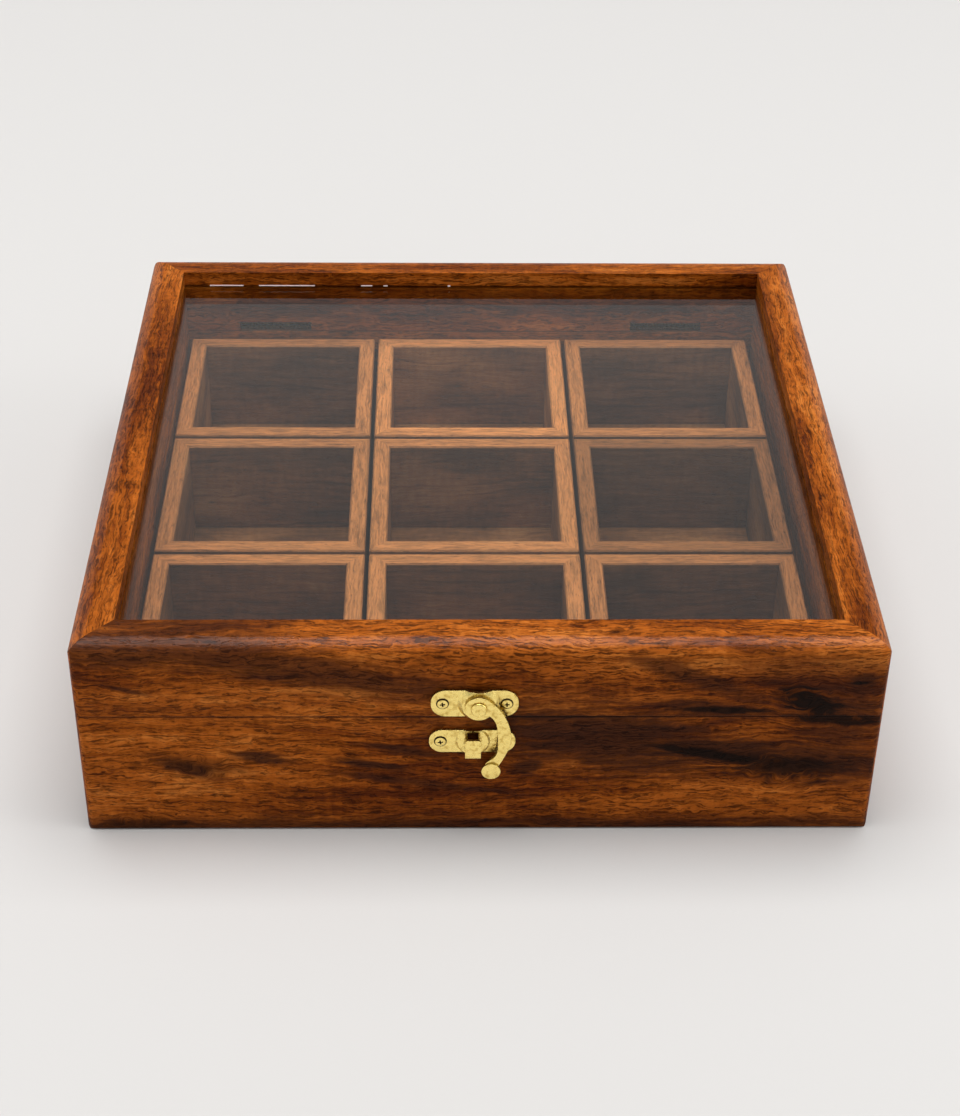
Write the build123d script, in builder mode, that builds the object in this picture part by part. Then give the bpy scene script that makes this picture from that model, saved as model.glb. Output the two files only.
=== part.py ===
from build123d import *
from math import cos, radians, sin, tan
import os

os.makedirs("parts", exist_ok=True)

# Wooden spice box, in millimetres.
# The origin is the middle of the underside, +Z is up, and the latch is on the -Y side.

# Carcass, cut into a base and a lid
box_width = 229.0
box_depth = 229.0
base_height = 42.5
lid_height = 25.5
wall_thickness = 12.0
corner_radius = 2.5
parting_ease = 0.4
foot_ease = 0.6
round_over_width = 6.3
round_over_drop = 4.2

# Floor panel, let into a rebate under the walls and pinned
floor_thickness = 4.0
floor_lap = 5.0
floor_edge_clearance = 0.15
floor_pin_radius = 0.6
floor_pin_length = 14.0
floor_pin_head_radius = 1.2
floor_pin_head_height = 0.5
floor_pin_spacing = 120.0

# Glass pane, held in a groove in the rails
glass_thickness = 3.0
glass_below_top = 5.2
glass_lap = 3.5
groove_edge_clearance = 0.5
groove_face_clearance = 0.1

# Containers, loose in the base
container_columns = ("left", "centre", "right")
container_rows = ("front", "middle", "back")
container_gap = 1.4
container_left_clearance = 1.6
container_right_clearance = 2.6
container_front_clearance = 3.2
container_back_clearance = 1.0
container_rim_below_parting = 2.5
container_wall = 5.5
container_floor = 3.0
container_lap = 2.5
container_floor_clearance = 0.1
container_corner_radius = 0.5
container_ease = 0.4

# Hinges, with both leaves inside a mortise in the lid's back rail
hinge_length = 25.4
hinge_centre_from_side = 43.75
hinge_leaf_reach = 9.5
hinge_leaf_thickness = 1.1
hinge_leaf_corner = 1.0
hinge_knuckle_radius = 1.85
hinge_knuckle_gap = 0.2
hinge_axis_inset = 1.3
hinge_pin_radius = 0.9
hinge_pin_clearance = 0.05
hinge_swing_clearance = 0.25
mortise_end_clearance = 0.2
rear_ease_height = 0.7
rear_ease_width = 1.9

# Countersunk hinge screws
hinge_screw_spacing = 15.0
hinge_screw_from_axis = 5.8
hinge_screw_radius = 1.0
hinge_screw_length = 8.0
hinge_screw_head_radius = 1.9
hinge_screw_head_angle = 90.0
hinge_screw_slot_width = 0.5
hinge_screw_slot_depth = 0.3

# Round-headed latch screws with a cross recess
latch_screw_spacing = 18.1
latch_screw_radius = 0.9
latch_screw_length = 7.0
latch_screw_head_radius = 1.85
latch_screw_head_height = 0.55
latch_screw_recess_length = 1.4
latch_screw_recess_width = 0.45
latch_screw_recess_depth = 0.35

# Radial room round every shank in its own hole
shank_clearance = 0.03

# Share of a latch screw's or rivet's head height that its round edge takes
head_rounding = 0.8

# Stamped latch plates, each with a raised boss
latch_metal = 0.8
boss_slope = 45.0
hook_plate_length = 24.7
hook_plate_height = 9.3
hook_plate_corner_radius = 4.2
hook_plate_x = -1.65
hook_plate_above_parting = 5.55
hook_boss_foot_radius = 6.0
hook_boss_height = 1.3
catch_plate_length = 24.6
catch_plate_height = 8.1
catch_plate_corner_radius = 3.8
catch_plate_x = -2.25
catch_plate_below_parting = 8.2
catch_boss_foot_radius = 4.9
catch_boss_height = 0.5

# Catch lip, a strip folded out from the plate's lower edge and up again
lip_x = -2.05
lip_width = 4.5
lip_height = 7.2
lip_reach = 4.6
lip_bend_radius = 0.5
lip_corner_radius = 0.8

# Window in the catch plate behind the lip, open to the plate's upper edge through a slit
window_width = 3.2
window_height = 4.0
window_below_edge = 0.6
window_corner_radius = 0.4
window_slit_width = 0.6

# Hook, its stepped thumb tab, and the rivet that it turns on
pivot_x = -0.5
hook_thickness = 1.2
hook_eye_radius = 4.0
hook_root_angle = 40.0
hook_bow = 9.2
hook_arm_width = 3.7
hook_side_play = 0.1
thumb_tab_x = 3.65
thumb_tab_drop = 22.5
thumb_tab_radius = 2.75
thumb_tab_step = 0.6
rivet_radius = 1.2
rivet_clearance = 0.05
rivet_head_radius = 2.3
rivet_head_height = 0.7
rivet_tail_radius = 1.8

# Places that follow from the sizes above
half_width = box_width / 2
half_depth = box_depth / 2
inner_width = box_width - 2 * wall_thickness
inner_depth = box_depth - 2 * wall_thickness
box_height = base_height + lid_height
glass_top = box_height - glass_below_top
glass_bottom = glass_top - glass_thickness
hinge_axis_y = half_depth - hinge_axis_inset
hinge_axis_z = base_height + hinge_knuckle_radius
hinge_swing_radius = hinge_knuckle_radius + hinge_swing_clearance
hinge_places = {
    "left": hinge_centre_from_side - half_width,
    "right": half_width - hinge_centre_from_side,
}
mortise_length = hinge_length + 2 * mortise_end_clearance
mortise_top = hinge_axis_z + hinge_knuckle_radius
knuckle_length = (hinge_length - 2 * hinge_knuckle_gap) / 3
hinge_screw_taper = hinge_screw_head_angle / 2
hinge_screw_head_depth = (hinge_screw_head_radius - hinge_screw_radius) / tan(radians(hinge_screw_taper))
boss_foot_shift = latch_metal * (1 - sin(radians(boss_slope))) / cos(radians(boss_slope))
hook_plate_z = base_height + hook_plate_above_parting
catch_plate_z = base_height - catch_plate_below_parting
hook_back = latch_metal + hook_boss_height + hook_side_play
hook_front = hook_back + hook_thickness

OUTWARD = {
    "front": Vector(0, -1, 0),
    "back": Vector(0, 1, 0),
    "left": Vector(-1, 0, 0),
    "right": Vector(1, 0, 0),
}


def save(part, name):
    """Label one finished piece and write it to its own file."""
    part.label = name
    export_step(part, f"parts/{name}.step")


def front_plane(x, z, proud=0.0):
    """Plane on the front face, x to the right and y up, standing proud of the wood."""
    return Plane((x, -half_depth - proud, z), x_dir=(1, 0, 0), z_dir=(0, -1, 0))


# Boards: a profile's x runs outwards with the outer face at 0, and its y runs up


def rebated_profile(height, thickness, lap, rebate, foot, rim):
    """Section of a wall with a rebate along its lower inner edge and its arrises eased."""
    with BuildSketch() as profile:
        with BuildLine():
            Polyline(
                (-foot, 0),
                (0, foot),
                (0, height - rim),
                (-rim, height),
                (-thickness + rim, height),
                (-thickness, height - rim),
                (-thickness, rebate),
                (lap - thickness, rebate),
                (lap - thickness, 0),
                close=True,
            )
        make_face()
    return profile.sketch


def lid_rail_profile():
    """Section of a lid rail, with a soft outer top edge and the groove for the glass."""
    groove_floor = glass_lap + groove_edge_clearance - wall_thickness
    groove_top = glass_top + groove_face_clearance
    with BuildSketch() as profile:
        with BuildLine():
            Polyline(
                (-round_over_width, box_height),
                (-wall_thickness, box_height),
                (-wall_thickness, groove_top),
                (groove_floor, groove_top),
                (groove_floor, glass_bottom),
                (-wall_thickness, glass_bottom),
                (-wall_thickness, base_height),
                (-parting_ease, base_height),
                (0, base_height + parting_ease),
                (0, box_height - round_over_drop),
            )
            EllipticalCenterArc(
                (-round_over_width, box_height - round_over_drop),
                round_over_width,
                round_over_drop,
                start_angle=0,
                arc_size=90,
            )
        make_face()
    return profile.sketch


def mitred_board(profile, side, width, depth, radius, centre=(0, 0, 0)):
    """One board of a rectangular frame, mitred at both ends and rounded at the frame's corners."""
    outward = OUTWARD[side]
    along = outward.cross(Vector(0, 0, 1))
    across_y = side in ("front", "back")
    half_out = (depth if across_y else width) / 2
    half_along = (width if across_y else depth) / 2
    face_middle = Vector(*centre) + outward * half_out
    with BuildPart() as board:
        with BuildSketch(Plane(face_middle, x_dir=outward, z_dir=along)):
            add(profile)
        extrude(amount=half_along, both=True)
        for end in (along, along * -1):
            split(bisect_by=Plane(face_middle + end * half_along, z_dir=end - outward), keep=Keep.BOTTOM)
        with BuildSketch(Plane(centre)):
            RectangleRounded(width, depth, radius)
        extrude(amount=box_height, mode=Mode.INTERSECT)
    return board.part


# Screws and pins: each stands on a plane whose normal points out of the hole


def countersunk_screw(place):
    """Slotted hinge screw, its head flush with the plane."""
    with BuildPart() as screw:
        with BuildSketch(place):
            Circle(hinge_screw_head_radius)
        extrude(amount=-hinge_screw_head_depth, taper=hinge_screw_taper)
        with BuildSketch(place):
            Circle(hinge_screw_radius)
        extrude(amount=-hinge_screw_length)
        with BuildSketch(place):
            Rectangle(2 * hinge_screw_head_radius, hinge_screw_slot_width)
        extrude(amount=-hinge_screw_slot_depth, mode=Mode.SUBTRACT)
    return screw.part


def round_head_screw(place):
    """Latch screw, its domed head standing on the plane."""
    with BuildPart() as screw:
        with BuildSketch(place):
            Circle(latch_screw_head_radius)
        extrude(amount=latch_screw_head_height)
        rim = screw.edges().sort_by(Axis(place.origin, place.z_dir))[-1]
        fillet(rim, radius=head_rounding * latch_screw_head_height)
        with BuildSketch(place):
            Circle(latch_screw_radius)
        extrude(amount=-latch_screw_length)
        with BuildSketch(place.offset(latch_screw_head_height)):
            Rectangle(latch_screw_recess_length, latch_screw_recess_width)
            Rectangle(latch_screw_recess_width, latch_screw_recess_length)
        extrude(amount=-latch_screw_recess_depth, mode=Mode.SUBTRACT)
    return screw.part


def floor_pin(place):
    """Pin driven through the floor panel into a wall, its head flush with the plane."""
    with BuildPart() as pin:
        with BuildSketch(place):
            Circle(floor_pin_head_radius)
        extrude(amount=-floor_pin_head_height)
        with BuildSketch(place):
            Circle(floor_pin_radius)
        extrude(amount=-floor_pin_length)
    return pin.part


pin_inset = wall_thickness - floor_lap / 2
pin_spots = []
for end in (-1, 1):
    for edge in (-1, 1):
        pin_spots.append((end * floor_pin_spacing / 2, edge * (half_depth - pin_inset)))
        pin_spots.append((edge * (half_width - pin_inset), end * floor_pin_spacing / 2))
pin_places = [Plane((x, y, 0), z_dir=(0, 0, -1)) for x, y in pin_spots]

hinge_screw_y = hinge_axis_y - hinge_screw_from_axis
hinge_screw_xs = [x + end * hinge_screw_spacing / 2 for x in hinge_places.values() for end in (-1, 1)]
base_leaf_top = base_height + hinge_leaf_thickness
lid_leaf_bottom = mortise_top - hinge_leaf_thickness
base_screw_places = [Plane((x, hinge_screw_y, base_leaf_top)) for x in hinge_screw_xs]
lid_screw_places = [Plane((x, hinge_screw_y, lid_leaf_bottom), z_dir=(0, 0, -1)) for x in hinge_screw_xs]

hook_screw_places = [
    front_plane(hook_plate_x + end * latch_screw_spacing / 2, hook_plate_z, latch_metal) for end in (-1, 1)
]
catch_screw_places = [
    front_plane(catch_plate_x + end * latch_screw_spacing / 2, catch_plate_z, latch_metal) for end in (-1, 1)
]

# Base walls

base_profile = rebated_profile(
    base_height, wall_thickness, floor_lap, floor_thickness, foot_ease, parting_ease
)
for side in OUTWARD:
    with BuildPart() as base_wall:
        add(mitred_board(base_profile, side, box_width, box_depth, corner_radius))
        with Locations(*pin_places):
            Hole(floor_pin_radius + shank_clearance, floor_pin_length)
        if side == "front":
            with Locations(*catch_screw_places):
                Hole(latch_screw_radius + shank_clearance, latch_screw_length)
        if side == "back":
            with Locations(*base_screw_places):
                Hole(hinge_screw_radius + shank_clearance, hinge_screw_length)
            with Locations(*[(x, hinge_axis_y, hinge_axis_z) for x in hinge_places.values()]):
                Cylinder(hinge_swing_radius, mortise_length, rotation=(0, 90, 0), mode=Mode.SUBTRACT)
    save(base_wall.part, f"base_{side}_wall")

# Floor panel and its pins

floor_inset = wall_thickness - floor_lap + floor_edge_clearance
with BuildPart() as base_floor_panel:
    with BuildSketch():
        Rectangle(box_width - 2 * floor_inset, box_depth - 2 * floor_inset)
    extrude(amount=floor_thickness)
    with Locations(*pin_places):
        CounterBoreHole(
            floor_pin_radius + shank_clearance,
            floor_pin_head_radius + shank_clearance,
            floor_pin_head_height,
            floor_thickness,
        )
save(base_floor_panel.part, "base_floor_panel")

with BuildPart() as base_floor_pins:
    for place in pin_places:
        add(floor_pin(place))
save(base_floor_pins.part, "base_floor_pins")

# Lid rails

lid_profile = lid_rail_profile()
for side in OUTWARD:
    with BuildPart() as lid_rail:
        add(mitred_board(lid_profile, side, box_width, box_depth, corner_radius))
        if side == "front":
            with Locations(*hook_screw_places):
                Hole(latch_screw_radius + shank_clearance, latch_screw_length)
        else:
            with BuildSketch(Plane.YZ):
                with BuildLine():
                    Polyline(
                        (half_depth - rear_ease_width, base_height),
                        (half_depth, base_height + rear_ease_height),
                        (half_depth + rear_ease_width, base_height + rear_ease_height),
                        (half_depth + rear_ease_width, base_height),
                        close=True,
                    )
                make_face()
            extrude(amount=half_width, both=True, mode=Mode.SUBTRACT)
        if side == "back":
            for x in hinge_places.values():
                with BuildSketch(Plane((x, half_depth - wall_thickness / 2, base_height))):
                    Rectangle(mortise_length, 2 * wall_thickness)
                extrude(amount=mortise_top - base_height, mode=Mode.SUBTRACT)
            with Locations(*[(x, hinge_axis_y, hinge_axis_z) for x in hinge_places.values()]):
                Cylinder(hinge_swing_radius, mortise_length, rotation=(0, 90, 0), mode=Mode.SUBTRACT)
            with Locations(*lid_screw_places):
                Hole(hinge_screw_radius + shank_clearance, hinge_screw_length)
    save(lid_rail.part, f"lid_{side}_rail")

# Glass

with BuildPart() as lid_glass:
    with BuildSketch(Plane.XY.offset(glass_bottom)):
        Rectangle(inner_width + 2 * glass_lap, inner_depth + 2 * glass_lap)
    extrude(amount=glass_thickness)
save(lid_glass.part, "lid_glass")

# Hinges


def hinge_leaf(x, low, high, own_knuckles, other_knuckles, screw_places):
    """Flat leaf between two heights, with knuckles round the axis and notches for the other leaf's."""
    with BuildPart() as leaf:
        with BuildSketch(Plane((x, hinge_axis_y - hinge_leaf_reach / 2, low))):
            Rectangle(hinge_length, hinge_leaf_reach)
        extrude(amount=high - low)
        free_end = leaf.faces().sort_by(Axis.Y)[0]
        fillet(free_end.edges().filter_by(Axis.Z), radius=hinge_leaf_corner)
        for offset, length in other_knuckles:
            with BuildSketch(Plane((x + offset, hinge_axis_y, low))):
                Rectangle(length + 2 * hinge_knuckle_gap, 2 * hinge_swing_radius)
            extrude(amount=high - low, mode=Mode.SUBTRACT)
        for offset, length in own_knuckles:
            with Locations((x + offset, hinge_axis_y, hinge_axis_z)):
                Cylinder(hinge_knuckle_radius, length, rotation=(0, 90, 0))
        with Locations((x, hinge_axis_y, hinge_axis_z)):
            Cylinder(
                hinge_pin_radius + hinge_pin_clearance,
                hinge_length,
                rotation=(0, 90, 0),
                mode=Mode.SUBTRACT,
            )
        with Locations(*screw_places):
            CounterSinkHole(
                hinge_screw_radius + shank_clearance,
                hinge_screw_head_radius + shank_clearance,
                hinge_leaf_thickness,
                counter_sink_angle=hinge_screw_head_angle,
            )
    return leaf.part


middle_knuckle = [(0, knuckle_length)]
outer_knuckles = [(end * (knuckle_length + hinge_knuckle_gap), knuckle_length) for end in (-1, 1)]
for name, x in hinge_places.items():
    own_base_screws = [place for place in base_screw_places if abs(place.origin.X - x) < hinge_length / 2]
    own_lid_screws = [place for place in lid_screw_places if abs(place.origin.X - x) < hinge_length / 2]
    base_leaf = hinge_leaf(x, base_height, base_leaf_top, outer_knuckles, middle_knuckle, own_base_screws)
    save(base_leaf, f"hinge_{name}_base_leaf")
    lid_leaf = hinge_leaf(x, lid_leaf_bottom, mortise_top, middle_knuckle, outer_knuckles, own_lid_screws)
    save(lid_leaf, f"hinge_{name}_lid_leaf")
    with BuildPart() as hinge_pin:
        with Locations((x, hinge_axis_y, hinge_axis_z)):
            Cylinder(hinge_pin_radius, hinge_length, rotation=(0, 90, 0))
    save(hinge_pin.part, f"hinge_{name}_pin")

with BuildPart() as hinge_base_screws:
    for place in base_screw_places:
        add(countersunk_screw(place))
save(hinge_base_screws.part, "hinge_base_screws")

with BuildPart() as hinge_lid_screws:
    for place in lid_screw_places:
        add(countersunk_screw(place))
save(hinge_lid_screws.part, "hinge_lid_screws")

# Latch plates


def stamped_plate(x, z, length, height, corner_radius, boss_x, boss_radius, boss_height, screw_places):
    """Thin plate with a hollow round boss pressed out of it, trimmed to the plate's outline."""
    with BuildPart() as plate:
        with BuildSketch(front_plane(x, z)):
            Rectangle(length, height)
        extrude(amount=latch_metal)
        with BuildSketch(front_plane(boss_x, z, latch_metal)):
            Circle(boss_radius)
        extrude(amount=boss_height, taper=boss_slope)
        with BuildSketch(front_plane(boss_x, z)):
            Circle(boss_radius - boss_foot_shift)
        extrude(amount=boss_height, taper=boss_slope, mode=Mode.SUBTRACT)
        with BuildSketch(front_plane(x, z)):
            RectangleRounded(length, height, corner_radius)
        extrude(amount=latch_metal + boss_height, mode=Mode.INTERSECT)
        with Locations(*screw_places):
            Hole(latch_screw_radius + shank_clearance, latch_metal)
    return plate.part


with BuildPart() as latch_hook_plate:
    add(
        stamped_plate(
            hook_plate_x,
            hook_plate_z,
            hook_plate_length,
            hook_plate_height,
            hook_plate_corner_radius,
            pivot_x,
            hook_boss_foot_radius,
            hook_boss_height,
            hook_screw_places,
        )
    )
    with Locations(front_plane(pivot_x, hook_plate_z, latch_metal + hook_boss_height)):
        Hole(rivet_radius + shank_clearance, latch_metal)
save(latch_hook_plate.part, "latch_hook_plate")

lip_foot = catch_plate_z - catch_plate_height / 2
with BuildPart() as catch_lip:
    with BuildSketch(Plane((lip_x, -half_depth, lip_foot), x_dir=(0, -1, 0), z_dir=(-1, 0, 0))) as lip:
        with BuildLine():
            Polyline(
                (0, 0),
                (lip_reach, 0),
                (lip_reach, lip_height),
                (lip_reach - latch_metal, lip_height),
                (lip_reach - latch_metal, latch_metal),
                (0, latch_metal),
                close=True,
            )
        make_face()
        fillet(lip.vertices().sort_by_distance((lip_reach, 0))[0], radius=lip_bend_radius + latch_metal)
        inner_bend = (lip_reach - latch_metal, latch_metal)
        fillet(lip.vertices().sort_by_distance(inner_bend)[0], radius=lip_bend_radius)
    extrude(amount=lip_width / 2, both=True)
    lip_top = catch_lip.faces().sort_by(Axis.Z)[-1]
    fillet(lip_top.edges().filter_by(Axis.Y), radius=lip_corner_radius)

window_z = catch_plate_z + (catch_plate_height - window_height) / 2 - window_below_edge
with BuildPart() as latch_catch_plate:
    add(
        stamped_plate(
            catch_plate_x,
            catch_plate_z,
            catch_plate_length,
            catch_plate_height,
            catch_plate_corner_radius,
            lip_x,
            catch_boss_foot_radius,
            catch_boss_height,
            catch_screw_places,
        )
    )
    with BuildSketch(front_plane(lip_x, window_z)):
        RectangleRounded(window_width, window_height, window_corner_radius)
        Rectangle(
            window_slit_width,
            window_height / 2 + window_below_edge,
            align=(Align.CENTER, Align.MIN),
        )
    extrude(amount=latch_metal + catch_boss_height, mode=Mode.SUBTRACT)
    add(catch_lip.part)
save(latch_catch_plate.part, "latch_catch_plate")

with BuildPart() as latch_hook_plate_screws:
    for place in hook_screw_places:
        add(round_head_screw(place))
save(latch_hook_plate_screws.part, "latch_hook_plate_screws")

with BuildPart() as latch_catch_plate_screws:
    for place in catch_screw_places:
        add(round_head_screw(place))
save(latch_catch_plate_screws.part, "latch_catch_plate_screws")

# Hook: an eye, a C-shaped arm and a round thumb tab stepped forward of it


def arm_edge(bow, shares):
    """Points down one edge of the hook's arm, each a share of its bow and of the drop to the tab."""
    return [(across * bow, -down * thumb_tab_drop) for across, down in shares]


outer_shares = ((0.55, -0.03), (0.94, 0.28), (1.0, 0.52), (0.83, 0.76))
inner_shares = ((0.85, 0.78), (1.0, 0.62), (0.98, 0.41), (0.90, 0.25))
root_x = hook_eye_radius * cos(radians(hook_root_angle))
root_y = hook_eye_radius * sin(radians(hook_root_angle))
with BuildPart() as latch_hook:
    with BuildSketch(front_plane(pivot_x, hook_plate_z, hook_back)):
        with BuildLine():
            outer_edge = Spline(
                (root_x, root_y),
                *arm_edge(hook_bow, outer_shares),
                (thumb_tab_x + thumb_tab_radius / 2, -thumb_tab_drop),
            )
            end_of_arm = Line(outer_edge @ 1, (thumb_tab_x - thumb_tab_radius / 2, -thumb_tab_drop))
            inner_edge = Spline(
                end_of_arm @ 1,
                (thumb_tab_x - thumb_tab_radius / 2, thumb_tab_radius - thumb_tab_drop),
                *arm_edge(hook_bow - hook_arm_width, inner_shares),
                (root_x, -root_y),
            )
            ThreePointArc(inner_edge @ 1, (-hook_eye_radius, 0), outer_edge @ 0)
        make_face()
    extrude(amount=hook_thickness)
    with BuildSketch(front_plane(pivot_x, hook_plate_z, hook_back + thumb_tab_step)):
        with Locations((thumb_tab_x, -thumb_tab_drop)):
            Circle(thumb_tab_radius)
    extrude(amount=hook_thickness)
    with Locations(front_plane(pivot_x, hook_plate_z, hook_front)):
        Hole(rivet_radius + rivet_clearance, hook_thickness)
save(latch_hook.part, "latch_hook")

with BuildPart() as latch_rivet:
    with BuildSketch(front_plane(pivot_x, hook_plate_z, hook_front + hook_side_play)):
        Circle(rivet_head_radius)
    extrude(amount=rivet_head_height)
    fillet(latch_rivet.edges().sort_by(Axis.Y)[0], radius=head_rounding * rivet_head_height)
    with BuildSketch(front_plane(pivot_x, hook_plate_z, hook_boss_height - latch_metal)):
        Circle(rivet_tail_radius)
    extrude(amount=latch_metal)
    with BuildSketch(front_plane(pivot_x, hook_plate_z, hook_boss_height)):
        Circle(rivet_radius)
    extrude(amount=hook_front + hook_side_play - hook_boss_height)
save(latch_rivet.part, "latch_rivet")

# Containers

columns = len(container_columns)
rows = len(container_rows)
container_width = (
    inner_width - container_left_clearance - container_right_clearance - (columns - 1) * container_gap
) / columns
container_depth = (
    inner_depth - container_front_clearance - container_back_clearance - (rows - 1) * container_gap
) / rows
container_height = base_height - container_rim_below_parting - floor_thickness
container_profile = rebated_profile(
    container_height, container_wall, container_lap, container_floor, container_ease, container_ease
)
bottom_inset = container_wall - container_lap + container_floor_clearance
first_x = container_left_clearance + (container_width - inner_width) / 2
first_y = container_front_clearance + (container_depth - inner_depth) / 2

for row, row_name in enumerate(container_rows):
    for column, column_name in enumerate(container_columns):
        centre = (
            first_x + column * (container_width + container_gap),
            first_y + row * (container_depth + container_gap),
            floor_thickness,
        )
        name = f"container_{row_name}_{column_name}"
        for group, sides in (("end_boards", ("front", "back")), ("side_boards", ("left", "right"))):
            with BuildPart() as boards:
                for side in sides:
                    add(
                        mitred_board(
                            container_profile,
                            side,
                            container_width,
                            container_depth,
                            container_corner_radius,
                            centre,
                        )
                    )
            save(boards.part, f"{name}_{group}")
        with BuildPart() as bottom:
            with BuildSketch(Plane(centre)):
                Rectangle(container_width - 2 * bottom_inset, container_depth - 2 * bottom_inset)
            extrude(amount=container_floor)
        save(bottom.part, f"{name}_bottom")
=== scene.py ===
"""Looks of a square rosewood spice box with a hinged glass lid, a brass hook latch and nine containers."""

import logging
from collections.abc import Callable
from dataclasses import asdict, dataclass
from enum import Enum
from math import atan, cos, pi, radians, sin

import bmesh
import bpy
from mathutils import Matrix, Vector


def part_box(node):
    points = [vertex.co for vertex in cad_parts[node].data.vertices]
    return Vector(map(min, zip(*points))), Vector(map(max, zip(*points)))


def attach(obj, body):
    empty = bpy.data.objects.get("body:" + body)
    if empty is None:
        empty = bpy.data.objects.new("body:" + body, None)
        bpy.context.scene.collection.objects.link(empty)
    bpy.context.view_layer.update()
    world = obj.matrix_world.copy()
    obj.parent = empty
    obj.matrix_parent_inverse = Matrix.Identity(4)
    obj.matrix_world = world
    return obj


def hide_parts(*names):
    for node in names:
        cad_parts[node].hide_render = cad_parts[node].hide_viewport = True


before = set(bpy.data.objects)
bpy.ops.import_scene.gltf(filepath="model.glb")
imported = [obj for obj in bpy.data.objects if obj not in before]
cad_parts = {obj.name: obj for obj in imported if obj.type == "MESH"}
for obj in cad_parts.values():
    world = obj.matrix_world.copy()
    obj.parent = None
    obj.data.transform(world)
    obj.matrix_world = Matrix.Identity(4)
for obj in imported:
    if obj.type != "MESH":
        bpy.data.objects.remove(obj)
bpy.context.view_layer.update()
log = logging.getLogger("spice_box")

MM = 0.001
Corner = tuple[float, float, float]
Colour = tuple[float, float, float, float]
Material = bpy.types.Material
Node = bpy.types.Node
Piece = bpy.types.Object
Socket = bpy.types.NodeSocket

# Attributes that the meshes carry for their materials
# Each container's tone, which on the right-hand column is painted shade
TONE_AND_SHADE = "tone"
SANDED = "sanded"
POLISHED = "polished"
# Painted shade on the brass parts and screws
PAINTED_SHADE = "grime"

# Kinds of node that are used often
MATH = "ShaderNodeMath"
VECTOR_MATH = "ShaderNodeVectorMath"
MAP_RANGE = "ShaderNodeMapRange"
NOISE = "ShaderNodeTexNoise"
MIX = "ShaderNodeMix"
ATTRIBUTE = "ShaderNodeAttribute"
SPLIT = "ShaderNodeSeparateXYZ"
JOIN = "ShaderNodeCombineXYZ"
PRINCIPLED = "ShaderNodeBsdfPrincipled"
SURFACE = "ShaderNodeOutputMaterial"
MOVE = "GeometryNodeTransform"
RESHAPE = "GeometryNodeSetPosition"
STORE = "GeometryNodeStoreNamedAttribute"


def linear(hex_colour: str) -> Colour:
    """Turn an sRGB hex colour into the linear colour that shaders work in.

    Args:
        hex_colour: Six hex digits, such as "A35A25".

    Returns:
        Red, green, blue and an alpha of 1, all from 0 to 1.
    """
    channels = [int(hex_colour[i:i + 2], 16) / 255 for i in (0, 2, 4)]
    return (*[c / 12.92 if c <= 0.04045 else ((c + 0.055) / 1.055) ** 2.4 for c in channels], 1.0)


class Nodes:
    """A node tree, built up node by node."""

    def __init__(self, tree: bpy.types.NodeTree) -> None:
        """Empty the tree."""
        self.tree = tree
        tree.nodes.clear()

    def add(self, kind: str, *values: object, **settings: object) -> Node:
        """Add a node with its settings, and set or link its inputs.

        Args:
            kind: Blender's own name for the type of node.
            values: What the first inputs get, in order, or one table of inputs by name or number. An
                input gets a value, the socket that feeds it, the node whose first output feeds it, or
                a list of those nodes.
            settings: Properties of the node, such as a math node's operation.

        Returns:
            The new node.
        """
        made = self.tree.nodes.new(kind)
        for name, value in settings.items():
            setattr(made, name, value)
        table = values[0] if values and isinstance(values[0], dict) else dict(enumerate(values))
        for key, value in table.items():
            for feed in value if isinstance(value, list) else [value]:
                if isinstance(feed, Node):
                    feed = feed.outputs[0]
                if isinstance(feed, Socket):
                    self.tree.links.new(feed, made.inputs[key])
                else:
                    made.inputs[key].default_value = feed
        return made


def new_material(name: str) -> tuple[Material, Nodes]:
    """Make a node material.

    Args:
        name: The material's name.

    Returns:
        The material, and its nodes, of which there are none yet.
    """
    material = bpy.data.materials.new(name)
    material.use_nodes = True
    return material, Nodes(material.node_tree)


def set_stops(ramp: Node, stops: list[tuple[float, Colour]]) -> None:
    """Set the stops of a colour ramp.

    Args:
        ramp: The ramp's node.
        stops: The position and the colour of each stop.
    """
    elements = ramp.color_ramp.elements
    while len(elements) < len(stops):
        elements.new(0.5)
    for element, (position, colour) in zip(elements, stops):
        element.position = position
        element.color = colour


class Grain(Enum):
    """Which way the grain of a board runs, as the turn in degrees that lays it along the pattern's X."""

    ALONG_X = 0.0
    ALONG_Y = -90.0


class Mark(Enum):
    """What a mark does to the wood: smoky heartwood, a black knot or shake, or a bright patch."""

    SMOKE = "smoke"
    KNOT = "knot"
    GLOW = "glow"


# Half depth of a stain in millimetres, far more than any board is thick
STAIN_DEPTH = 1e4


@dataclass(frozen=True)
class Stain:
    """A mark on a board, a soft ellipse in millimetres along the grain and up the board."""

    mark: Mark
    along: float
    up: float
    half_length: float
    half_height: float
    slope: float = 0.0
    strength: float = 1.0
    softness: float = 0.6

    def around(
        self, nodes: Nodes, board: Node, wider: float = 1.0, taller: float = 1.0
    ) -> tuple[Node, Socket]:
        """See a point of the board from the middle of the stain, which goes right through the board.

        Args:
            nodes: The material's nodes.
            board: The point on the board, in millimetres.
            wider: How much longer than itself the stain is taken to be.
            taller: How much higher than itself the stain is taken to be.

        Returns:
            The point in the stain's own frame, where its edge is at 1, and its distance from the middle.
        """
        inputs = {
            "Vector": board,
            "Location": (self.along, 0.0, self.up),
            "Rotation": (0.0, -atan(self.slope), 0.0),
            "Scale": (self.half_length * wider, STAIN_DEPTH, self.half_height * taller),
        }
        inside = nodes.add("ShaderNodeMapping", inputs, vector_type="TEXTURE")
        return inside, nodes.add(VECTOR_MATH, inside, operation="LENGTH").outputs[1]


Stains = tuple[Stain, ...]


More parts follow.
